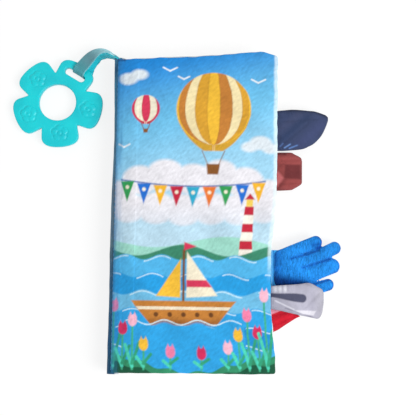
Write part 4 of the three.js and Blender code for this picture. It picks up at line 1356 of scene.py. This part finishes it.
@dataclass
class PlushTail:
    """The blue plush tail: a padded palm with four round fingers on a striped cloth tab."""

    leaf: int = 3
    low: float = -50.3
    width: float = 26.0
    tab_run: float = 2.4
    sewn_in: float = 4.0
    thickness: float = 5.0
    droop: float = 5.2
    reach: float = 49.6
    voxel: float = 0.62
    fingers: tuple[tuple[float, float, float, float, float, float], ...] = (
        (12, 24.4, 31, 32.3, 5.2, 4.6),
        (18, 14.6, 45, 28.4, 5.2, 4.6),
        (20, 6.0, 43.6, 15.3, 6.2, 5.2),
        (18, -5.4, 40.0, 1.6, 4.6, 4.4),
    )
    creases: tuple[tuple[float, float, float, float], ...] = (
        (12.5, 20, 33, 26.6), (21, 13.6, 41, 20.4), (24, 0.4, 40, 5.2),
    )
    palm: tuple[tuple[float, float, float, float, float, float], ...] = (
        (3.7, 3.4, 3.7, 22.6, 3.2, 3.2), (4.5, 4.2, 19, 0.5, 4.0, 5.6), (6.8, 9, 22, 8, 6.2, 7),
        (6.8, 16, 20, 17, 6.2, 7.5), (4.7, 21.6, 12, 24.4, 4.2, 5.2),
    )
    # Strength of the painted shade at each finger tip.
    tip_painted_shade: tuple[float, ...] = (0.9, 0.4, 0.45, 0.8)
    # Ground colour, then the painted shade in the creases, then the painted shade at the root and the finger tips.
    tones: tuple[str, str, str] = ("#2489e2", "#0c3f94", "#0a47a8")

    def build(self, finishes: Finishes) -> None:
        """Makes the plush form and its tab."""
        self.plush(finishes)
        self.tab(finishes)

    def start(self) -> float:
        """Place where the plush begins, past the tab."""
        return float(BOOK.fore_edge(self.low)) + 2 * BOOK.gap + self.tab_run

    def blob(self, ax: float, ay: float, bx: float, by: float, ra: float, rb: float) -> tuple[np.ndarray, list]:
        """Flattened capsule from a to b, as points and faces."""
        rings, sides = 20, 24
        span = np.array([bx - ax, by - ay])
        length = float(np.linalg.norm(span))
        way = span / length
        side_way = np.array([-way[1], way[0]])
        points = []
        for ring in range(rings + 1):
            turn = math.pi * ring / rings
            radius = ra + (rb - ra) * (1 - math.cos(turn)) / 2
            place = -math.cos(turn) * radius + (length if turn > math.pi / 2 else 0.0)
            for side in range(sides):
                roll = TAU * side / sides
                wide = radius * max(math.sin(turn), 1e-3)
                across = way * place + side_way * wide * math.cos(roll)
                points.append((ax + across[0], ay + across[1], wide * math.sin(roll) * self.thickness / 2 / radius))
        faces = []
        for ring in range(rings):
            for side in range(sides):
                a = ring * sides + side
                b = ring * sides + (side + 1) % sides
                faces.append((a, b, b + sides, a + sides))
        faces.append(tuple(reversed(range(sides))))
        faces.append(tuple(rings * sides + side for side in range(sides)))
        return np.array(points), faces

    def plush(self, finishes: Finishes) -> None:
        """The palm and fingers, joined into one skin and creased between the fingers, with painted shade in the
        creases, towards the root and round the finger tips.
        """
        points, faces = [], []
        for stroke in self.fingers + self.palm:
            new_points, new_faces = self.blob(*stroke)
            shift = sum(len(p) for p in points)
            points.append(new_points)
            faces += [tuple(v + shift for v in face) for face in new_faces]
        rough = make_object("plush_rough", np.vstack(points), faces)
        place, polygons = remeshed(rough, self.voxel, 5)
        groove = np.zeros(len(place))
        canvas = Canvas(place[:, 0], place[:, 1], self.tones[0])
        for ax, ay, bx, by in self.creases:
            near = canvas.bar(ax, ay, bx, by, 0.0)
            groove = np.maximum(groove, bell(near, 0.8))
        # Painted shade in the creases between the fingers.
        canvas.wash(0.55 * groove, self.tones[1])
        # Painted shade towards the root of the palm.
        canvas.wash(0.5 * ease(9, 0, place[:, 0]), self.tones[2])
        # Painted shade along the lower side of the root.
        canvas.wash(0.95 * ease(12, 4, place[:, 1] + 0.1 * place[:, 0]) * ease(38, 16, place[:, 0]), "#042c6e")
        # Painted shade round the right side of each finger tip.
        for (_, _, bx, by, _, r), depth in zip(self.fingers, self.tip_painted_shade):
            away = np.hypot(place[:, 0] - bx, place[:, 1] - by) / r
            canvas.wash(depth * ease(0.5, 1.0, away) * ease(1.3, 1.1, away) * ease(bx - 2, bx + 1, place[:, 0]),
                        self.tones[2])
        # Painted shade at the tip of the top finger.
        canvas.wash(0.7 * np.exp(-canvas.bar(29, 30, 34, 31, 0).clip(0) / 1.6), self.tones[2])
        side = np.sign(place[:, 2])
        place[:, 2] -= side * groove * 1.1 * (np.abs(place[:, 2]) > 0.5)
        nap = Ripple(77, 2.2, 14).at(place[:, 0], 0.45 * place[:, 1])
        place[:, 2] += side * 0.16 * nap
        place[:, 2] -= self.droop * (np.clip(place[:, 0], 0, None) / self.reach) ** 2
        middle = BOOK.leaf_middle(self.leaf)
        place += (self.start(), self.low, middle)
        piece = make_object("tail_plush_skin", place, polygons, None, canvas.brushed(5, 0.08))
        dress(piece, finishes.plush)
        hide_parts("tail_3_plush")
        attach(piece, "tail_3")
        LOG.info("plush tail: %d points", len(place))

    def tab(self, finishes: Finishes) -> None:
        """Narrow woven tab that joins the plush to its leaf, striped along its length, with the painted shadow of the
        cover's edge at its root.
        """
        columns, rows = 40, 60
        root = float(BOOK.fore_edge(self.low))
        x = np.linspace(root - self.sewn_in, self.start() + self.sewn_in, columns)
        y = self.low + self.width * denser_ends(rows, 0.4)
        grid_x, grid_y = np.meshgrid(x, y, indexing="ij")
        middle = BOOK.leaf_middle(self.leaf)
        half = 0.6 + 0 * grid_x
        canvas = Canvas(grid_x, grid_y, "#36a6ec")
        # Painted shadow of the cover's edge across the tab.
        canvas.wash(0.8 * bell(grid_x - root - 0.9, 0.45), "#1566b8")
        canvas.wash(0.8 * bell(grid_x - self.start(), 0.4), "#1566b8")
        canvas.wash(0.5 * bell(grid_x - root - 1.9, 0.35), "#9bd6f7")
        paint = canvas.brushed(8)
        upper = np.stack([grid_x, grid_y, middle + half], -1)
        lower = np.stack([grid_x, grid_y, middle - half], -1)
        piece = shell("tail_plush_tab", upper, lower, np.stack([grid_x, grid_y], -1), paint, paint)
        dress(piece, finishes.cloth)
        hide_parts("tail_3_plush_tab")
        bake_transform(piece)


def remeshed(piece: bpy.types.Object, voxel: float, smoothing: int) -> tuple[np.ndarray, list]:
    """Joins the shells of a piece into one even skin, softens it and removes the piece.

    Args:
        piece: Object made of closed shells that may overlap.
        voxel: Size of a cell in millimetres.
        smoothing: How many times the skin is softened.

    Returns:
        Places in millimetres, and faces.
    """
    cells = piece.modifiers.new("cells", "REMESH")
    cells.mode = "VOXEL"
    cells.voxel_size = voxel * MM
    soften = piece.modifiers.new("soften", "SMOOTH")
    soften.factor = 0.5
    soften.iterations = smoothing
    graph = bpy.context.evaluated_depsgraph_get()
    mesh = bpy.data.meshes.new_from_object(piece.evaluated_get(graph))
    places = np.zeros(len(mesh.vertices) * 3)
    mesh.vertices.foreach_get("co", places)
    faces = [tuple(face.vertices) for face in mesh.polygons]
    bpy.data.meshes.remove(mesh)
    bpy.data.objects.remove(piece)
    return places.reshape(-1, 3) / MM, faces


@dataclass
class Teether:
    """The silicone teether: five petals round a hole, a slot for the ribbon and four raised blossoms."""

    centre: tuple[float, float] = (-102.0, 83.4)
    radius: float = 33.4
    thickness: float = 5.5
    hole_radius: float = 13.7
    petals: int = 5
    petal_half: float = 13.7
    petal_corner: float = 7.5
    notch_radius: float = 22.0
    slot_angle: float = 59.5
    slot_length: float = 16.5
    slot_width: float = 5.3
    rim_width: float = 6.6
    rim_z: float = 4.652
    blossom_place: float = 23.2
    lobe_place: float = 3.3
    lobe_radius: float = 2.8
    ring_radius: float = 1.7
    swell: float = 0.5
    groove: float = 0.4
    groove_width: float = 0.6
    rounding: float = 0.7
    rounding_run: float = 9.0
    voxel: float = 0.42

    def petal_outline(self) -> np.ndarray:
        """Half of one petal's outline, from its tip to the notch."""
        brim = math.asin((self.petal_half - self.petal_corner) / self.radius)
        rim = self.radius * np.array([np.cos(np.linspace(0, brim, 6)), np.sin(np.linspace(0, brim, 6))]).T
        run = (self.petal_half - rim[-1, 1]) / math.cos(brim)
        corner = np.array([rim[-1, 0] - run * math.sin(brim), self.petal_half])
        shoulder = np.array([self.radius - self.petal_corner, self.petal_half])
        t = np.linspace(0, 1, 10)[1:, None]
        bend = (1 - t) ** 2 * rim[-1] + 2 * t * (1 - t) * corner + t * t * shoulder
        turn = math.pi / self.petals
        notch = self.notch_radius * np.array([math.cos(turn), math.sin(turn)])
        return np.vstack([rim, bend, notch])

    def outline(self) -> np.ndarray:
        """Whole outline, with the slot's petal on +X."""
        half = self.petal_outline()
        mirrored = half[:0:-1] * (1, -1)
        petal = np.vstack([mirrored[1:], half])
        points = []
        for k in range(self.petals):
            turn = TAU * k / self.petals
            spin = np.array([[math.cos(turn), math.sin(turn)], [-math.sin(turn), math.cos(turn)]])
            points.append(petal @ spin)
        return np.vstack(points)

    def slot_outline(self) -> np.ndarray:
        """Round-ended slot inside the rim of its petal."""
        radius = self.slot_width / 2
        reach = self.slot_length / 2 - radius
        middle = self.radius - self.rim_width - radius
        turn = np.linspace(0, math.pi, 12)
        end = np.stack([middle + radius * np.cos(turn), reach + radius * np.sin(turn)], -1)
        return np.vstack([end, (2 * middle, 0) - end])

    def body(self) -> tuple[np.ndarray, list]:
        """Places and faces of the moulded body, before the blossoms are raised."""
        curve = bpy.data.curves.new("teether_outline", "CURVE")
        curve.dimensions = "2D"
        curve.fill_mode = "BOTH"
        curve.extrude = self.thickness / 2 * MM
        turn = np.linspace(0, TAU, 64, endpoint=False)
        hole = self.hole_radius * np.stack([np.cos(turn), np.sin(turn)], -1)
        for points in (self.outline(), hole, self.slot_outline()):
            spline = curve.splines.new("POLY")
            spline.points.add(len(points) - 1)
            flat = np.column_stack([points * MM, np.zeros(len(points)), np.ones(len(points))])
            spline.points.foreach_set("co", flat.astype(np.float32).ravel())
            spline.use_cyclic_u = True
        rough = bpy.data.objects.new("teether_rough", curve)
        bpy.context.scene.collection.objects.link(rough)
        graph = bpy.context.evaluated_depsgraph_get()
        plate = bpy.data.meshes.new_from_object(rough.evaluated_get(graph))
        bpy.data.objects.remove(rough)
        piece = bpy.data.objects.new("teether_plate", plate)
        bpy.context.scene.collection.objects.link(piece)
        return remeshed(piece, self.voxel, 16)

    def build(self, finishes: Finishes) -> None:
        """Makes the teether and lets it ride on its own body."""
        place, polygons = self.body()
        radius = np.hypot(place[:, 0], place[:, 1])
        upper = ease(0.2, 1.6, place[:, 2])
        lower = ease(-0.2, -1.6, place[:, 2])
        outer = ease(self.radius - self.rounding_run, self.radius, radius)
        place[:, 2] -= self.rounding * (upper - lower) * outer
        relief = np.zeros(len(place))
        for k in range(1, self.petals):
            turn = TAU * k / self.petals
            x = place[:, 0] * math.cos(turn) + place[:, 1] * math.sin(turn) - self.blossom_place
            y = place[:, 1] * math.cos(turn) - place[:, 0] * math.sin(turn)
            reach = np.hypot(x, y)
            lobes = [TAU * (lobe + 0.5) / self.petals for lobe in range(self.petals)]
            near = [np.hypot(x - self.lobe_place * math.cos(a), y - self.lobe_place * math.sin(a)) for a in lobes]
            inside = np.maximum(self.lobe_radius - np.min(near, axis=0), self.lobe_place - reach)
            raised = self.swell * (1 - np.exp(-np.clip(inside, 0, None) / 1.2))
            line = self.groove * bell(inside + 0.3, self.groove_width)
            ring = self.groove * bell(reach - self.ring_radius, self.groove_width)
            relief += raised - line - 1.3 * ring
        place[:, 2] += relief * upper
        spin = math.radians(self.slot_angle)
        turned = np.stack([place[:, 0] * math.cos(spin) - place[:, 1] * math.sin(spin),
                           place[:, 0] * math.sin(spin) + place[:, 1] * math.cos(spin), place[:, 2]], -1)
        turned += (*self.centre, self.rim_z)
        piece = make_object("teether_moulding", turned, polygons)
        dress(piece, finishes.silicone)
        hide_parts("teether")
        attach(piece, "teether")
        LOG.info("teether: %d points", len(turned))


@dataclass(frozen=True)
class RibbonRun:
    """Curve of one ply of the ribbon between the teether's rim and the spine: handle lengths and turns."""

    rim_handle: float
    root_handle: float
    root_lean: float
    lift: float
    rim_skew: float
    twist_power: float


@dataclass
class RibbonLoop:
    """The ribbon: one flat tape from the spine round the teether's rim and back, sewn in edge-on."""

    teether: Teether
    width: float = 9.0
    thickness: float = 0.6
    ply_gap: float = 0.6
    wrap_radius: float = 4.302
    top_shift: float = -1.5
    bottom_shift: float = -5.8
    shift_power: float = 4.0
    sewn_in: float = 1.2
    upper: RibbonRun = RibbonRun(9, 22.2, 46, 5, 22, 1.06)
    lower: RibbonRun = RibbonRun(20.2, 8.8, 58.9, 1.5, -11.7, 0.55)
    run_steps: int = 110
    wrap_steps: int = 40
    across_steps: int = 28
    wave: float = 0.22
    wave_length: float = 6.4

    def run(self, rim: np.ndarray, out: np.ndarray, root_x: float, sizes: RibbonRun,
            edge: float) -> tuple[np.ndarray, np.ndarray]:
        """Middle points of one ply and the directions across it, from the rim to the spine.

        Args:
            rim: Place where the ply leaves the rim.
            out: Level direction from the teether's centre through its slot.
            root_x: Place of the sewn end.
            sizes: The ply's own handles and turns.
            edge: 1 if the tape's edge turns up at its root, -1 if it turns down.

        Returns:
            Points and unit directions, one row each.
        """
        up = np.array([0.0, 0.0, 1.0])
        root = np.array([root_x, BOOK.height / 2 + BOOK.gap - self.sewn_in, BOOK.axis_z])
        skew, lean = math.radians(sizes.rim_skew), math.radians(sizes.root_lean)
        leave = out * math.cos(skew) + np.cross(out, up) * math.sin(skew)
        first = rim + leave * sizes.rim_handle + up * sizes.lift
        second = root + np.array([-math.sin(lean), math.cos(lean), 0]) * sizes.root_handle
        points = resample(bezier(rim, first, second, root, 400), self.run_steps)
        along = unit_rows(np.gradient(points, axis=0))
        level = unit_rows(np.cross(along, up))
        turn = math.pi / 2 * ease(0, 1, np.linspace(0, 1, self.run_steps) ** sizes.twist_power)[:, None]
        return points, level * np.cos(turn) + edge * np.cross(level, along) * np.sin(turn)

    def stations(self) -> tuple[np.ndarray, np.ndarray]:
        """Middle points of the tape and the directions across it."""
        spin = math.radians(self.teether.slot_angle)
        out = np.array([math.cos(spin), math.sin(spin), 0])
        across = np.array([-out[1], out[0], 0])
        up = np.array([0.0, 0.0, 1.0])
        distance = self.teether.radius - self.teether.rim_width / 2
        rim = np.array([*self.teether.centre, self.teether.rim_z]) + out * distance
        step = (self.thickness + self.ply_gap) / 2

        def wrap(turn: float, shift: float) -> np.ndarray:
            """Point on the bend round the rim."""
            return rim + self.wrap_radius * (out * math.cos(turn) + up * math.sin(turn)) + across * shift

        top, rising = self.run(wrap(math.pi / 2, self.top_shift), out, BOOK.axis_x + step, self.upper, 1)
        low, falling = self.run(wrap(1.5 * math.pi, self.bottom_shift), out, BOOK.axis_x - step, self.lower, -1)
        shift = self.bottom_shift - self.top_shift
        bend = np.array([wrap(math.pi / 2 + math.pi * share, self.top_shift + shift * share ** self.shift_power)
                         for share in np.linspace(0, 1, self.wrap_steps)[1:-1]])
        points = np.vstack([top[::-1], bend, low])
        return points, np.vstack([rising[::-1], np.tile(-across, (len(bend), 1)), falling])

    def colours(self, flat: np.ndarray, length: float) -> np.ndarray:
        """Linear colours: grey-teal where the outer side shows, turquoise on the ply below, with painted highlights
        near the arch and along the outer ply's raised edge.
        """
        share = flat[..., 0] / length
        outer = ease(0.53, 0.45, share)
        canvas = Canvas(flat[..., 0], flat[..., 1], "#1fe2f2")
        canvas.wash(outer, "#6b9fab")
        canvas.wash(0.55 * outer * ease(0.3, 0.42, share), "#2ea6ae")
        # Painted highlight where the outer ply turns to the light near the arch.
        canvas.wash(outer * ease(0.3, 0.15, share), "#a8f0fc")
        canvas.wash(0.6 * outer * ease(0.05, 0.0, share), "#1c9fb8")
        # Painted highlight along the outer ply's raised edge.
        canvas.wash(0.6 * outer * ease(0.4, 0.47, flat[..., 1] / self.width), "#98e6f2")
        canvas.wash(0.5 * (1 - outer) * ease(0.42, 0.48, flat[..., 1] / self.width), "#0a93a8")
        return canvas.brushed(61, 0.05)

    def build(self, finishes: Finishes) -> None:
        """Makes the tape, ribbed across, and fixes it in place between the spine and the teether."""
        points, sides = self.stations()
        along = unit_rows(np.gradient(points, axis=0))
        sides = unit_rows(sides - along * np.sum(sides * along, axis=1)[:, None])
        normal = np.cross(along, sides)
        place = places_along(points)
        length = float(place[-1])
        share = np.linspace(-1, 1, self.across_steps)
        worn = ease(0.5, 0.58, place / length) * ease(4, 24, length - place)
        wave = self.wave * worn * (np.sin(TAU * place / self.wave_length) + Ripple(63, 9).at(place) - 0.6)
        offset = self.width / 2 * share[None, :] + wave[:, None] * np.clip(share, 0, 1)[None, :]
        spread = points[:, None] + sides[:, None] * offset[..., None]
        lift = normal[:, None] * self.thickness / 2
        flat = np.stack([np.broadcast_to(place[:, None], offset.shape), offset], -1)
        paint = self.colours(flat, length)
        piece = shell("ribbon_tape", spread + lift, spread - lift, flat, paint, paint)
        dress(piece, finishes.ribbon)
        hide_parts("ribbon_loop")
        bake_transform(piece)
        LOG.info("ribbon: %.0f mm long", length)


@dataclass(frozen=True)
class Studio:
    """The camera of the photograph, soft light from the right and a pale floor."""

    yaw: float = -0.838
    elevation: float = 84.5
    target: tuple[float, float, float] = (10.791, 4.886, 20.0)
    distance: float = 660.0
    lens: float = 79.44
    sky: float = 0.58
    key_power: float = 12.0
    key_size: float = 0.7
    key_place: tuple[float, float, float] = (0.8, -0.36, 1.05)
    floor_side: float = 9000.0
    floor_z: float = -0.2

    def camera(self) -> None:
        """Sets the camera up where the photograph was taken from."""
        yaw, tilt = math.radians(self.yaw), math.radians(self.elevation)
        forward = Vector((math.sin(yaw) * math.cos(tilt), math.cos(yaw) * math.cos(tilt), -math.sin(tilt)))
        right = Vector((math.cos(yaw), -math.sin(yaw), 0))
        up = right.cross(forward)
        data = bpy.data.cameras.new("camera")
        data.lens = self.lens
        data.sensor_width = 36
        data.clip_start = 0.01
        camera = bpy.data.objects.new("camera", data)
        place = (Vector(self.target) - forward * self.distance) * MM
        camera.matrix_world = Matrix.Translation(place) @ Matrix((right, up, -forward)).transposed().to_4x4()
        bpy.context.scene.collection.objects.link(camera)
        bpy.context.scene.camera = camera

    def lights(self) -> None:
        """One large soft lamp and an even sky, which the camera sees as white."""
        lamp = bpy.data.lights.new("key", "AREA")
        lamp.energy = self.key_power
        lamp.size = self.key_size
        key = bpy.data.objects.new("key", lamp)
        key.location = self.key_place
        key.rotation_euler = (-Vector(self.key_place)).to_track_quat("-Z", "Y").to_euler()
        bpy.context.scene.collection.objects.link(key)
        world = bpy.data.worlds.new("studio")
        world.use_nodes = True
        tree = world.node_tree
        tree.nodes.clear()
        path = add_node(tree, "LightPath")
        seen = add_node(tree, "Math", {0: path.outputs["Is Camera Ray"], 1: path.outputs["Is Glossy Ray"]},
                        operation="MAXIMUM")
        seen = add_node(tree, "Math", {0: seen.outputs[0], 1: path.outputs["Is Transmission Ray"]},
                        operation="MAXIMUM")
        strength = add_node(tree, "MapRange", {"Value": seen.outputs[0], "To Min": self.sky, "To Max": 1.0})
        back = add_node(tree, "Background", {"Color": rgba("#ffffff"), "Strength": strength.outputs[0]})
        add_node(tree, "OutputWorld", {"Surface": back.outputs[0]})
        bpy.context.scene.world = world

    def floor(self) -> None:
        """Pale card under the book."""
        side, z = self.floor_side, self.floor_z
        points = np.array([[-side, -side, z], [side, -side, z], [side, side, z], [-side, side, z]])
        floor = make_object("floor", points, [(0, 1, 2, 3)])
        dress(floor, PaleFloor().build())

    def build(self) -> None:
        """Sets up camera, lights and floor."""
        self.camera()
        self.lights()
        self.floor()
        bpy.context.scene.view_settings.view_transform = "Standard"


def book_pads() -> list[tuple[Pad, str, str, str]]:
    """Every pad with the suffixes of its two panels and its body, from the front cover down."""
    pastel = ("#bfe3f2", "#f7d9df", "#fbeec2", "#cdebd0")
    bright = ("#f2bd38", "#d8365a", "#2f9e53", "#1f8fd6")
    pages = [
        Page(paint_dots, "#cfe8f4", bright), Page(paint_waves, "#bfe3f2", ("#bfe3f2", "#8fd0ec", "#dff1f8")),
        Page(paint_sun, "#bfe3f2", ("#f6cf5b", "#f2a93a")), Page(paint_stripes, "#fbeec2", pastel),
        Page(paint_checks, "#ffffff", ("#fbeec2", "#f3c6a0")), Page(paint_dots, "#f7d9df", bright),
        Page(paint_rainbow, "#dceff8", ("#d8365a", "#f2923a", "#f6cf5b", "#3aa564", "#2f7fd0")),
        Page(paint_waves, "#cdebd0", ("#cdebd0", "#9fd7a8", "#e6f5e4")),
        Page(paint_stripes, "#bfe3f2", ("#bfe3f2", "#ffffff")), Page(paint_checks, "#ffffff", pastel),
        Page(paint_dots, "#fbeec2", ("#f2923a", "#2aa7c9")), Page(paint_sun, "#f7e3c9", ("#f6cf5b", "#e8772e")),
        Page(paint_stripes, "#dceff8", ("#9ad0ec", "#dceff8")), Page(paint_dots, "#5fb4e6", ("#ffffff", "#f6cf5b")),
    ]
    pads: list[tuple[Pad, str, str, str]] = []
    cover = FrontCover("front_cover", BOOK.layers - 1, pages[0], pages[0], 220, 430, BOOK.draw_reach, 0.3, 1.6,
                       pucker=0.5, crown_run=9.0, seed=100)
    pads.append((cover, "outer", "lining", "front_cover"))
    for leaf in range(1, BOOK.leaf_count + 1):
        pad = Pad(f"leaf_{leaf}", BOOK.leaf_count + 1 - leaf, pages[2 * leaf - 1], pages[2 * leaf],
                  seed=100 + 40 * leaf)
        pads.append((pad, "front", "back", f"leaf_{leaf}"))
    back = Pad("back_cover", 0, pages[12], pages[13], 130, 230, crowding=0.4, seed=400)
    pads.append((back, "lining", "outer", "root"))
    return pads


def flat_tails() -> list[FlatTail]:
    """The four flat tails, in the order of their leaves. An outline's rows are shares: along, low side, high side."""
    grey = ((0, 0, 1), (0.2, -0.09, 1.05), (0.36, -0.18, 1.08), (0.55, -0.28, 1.12), (0.67, -0.34, 1.17),
            (0.76, -0.38, 1.16), (0.88, -0.42, 1.02), (0.95, -0.22, 0.93), (0.985, 0.1, 0.84), (1, 0.3, 0.7))
    navy = ((0, 0, 1), (0.15, 0.0, 1.03), (0.3, 0.02, 1.05), (0.5, 0.06, 1.05), (0.62, 0.13, 1.04),
            (0.74, 0.23, 1.03), (0.87, 0.43, 0.995), (0.955, 0.66, 0.96), (1, 0.83, 0.91))
    russet = ((0, 0, 1), (0.3, 0.01, 1.01), (0.6, 0.03, 1.01), (0.72, 0.07, 0.97), (0.88, 0.14, 0.92),
              (0.97, 0.19, 0.87), (1, 0.23, 0.79))
    red = ((0, 0, 1), (0.15, 0.08, 1.04), (0.3, 0.17, 1.02), (0.5, 0.34, 0.96), (0.75, 0.54, 0.86),
           (0.92, 0.66, 0.79), (1, 0.7, 0.74))
    return [
        FlatTail("tail_grey", 1, ("tail_1_grey_face", "tail_1_grey_backing"), "grey_cloth", 39.4, 15.9, -66.4, 6.5,
                 grey, paint_grey_tail, "#b2b0c0", ((0.66, 0.1, 0.9, 0.7), (0.12, 0.5, 0.4, 0.45)), seed=21),
        FlatTail("tail_navy", 2, ("tail_2_navy_face", "tail_2_navy_backing"), "navy_cloth", 39, 29.2, 47.9, 7.0,
                 navy, paint_navy_tail, "#354163", ((0.1, 0.74, 0.8, 0.86), (0.15, 0.2, 0.6, 0.72)), seed=22),
        FlatTail("tail_russet", 4, ("tail_4_russet_face", "tail_4_russet_backing"), "russet_cloth", 20.1, 28.2, 19.3,
                 2.6, russet, paint_russet_tail, "#8c4140", ((0.1, 0.2, 0.95, 0.24), (0.2, 0.8, 0.9, 0.84)), seed=23),
        FlatTail("tail_red", 5, ("tail_5_red_face", "tail_5_red_backing"), "red_cloth", 22.4, 17.6, -84.4, 1.6,
                 red, paint_red_tail, "#dc152f", ((0.1, 0.35, 0.8, 0.7), (0.05, 0.7, 0.5, 0.85)), seed=24),
    ]


def main() -> None:
    """Dresses the whole book."""
    logging.basicConfig(level=logging.INFO, format="%(name)s: %(message)s")
    Studio().build()
    finishes = Finishes()
    for pad, upper_node, lower_node, body in book_pads():
        pad.build(upper_node, lower_node, body, finishes)
    Spine().build(finishes)
    for tail in flat_tails():
        tail.build(finishes)
    PlushTail().build(finishes)
    teether = Teether()
    teether.build(finishes)
    RibbonLoop(teether).build(finishes)


if __name__ == "__main__":
    main()
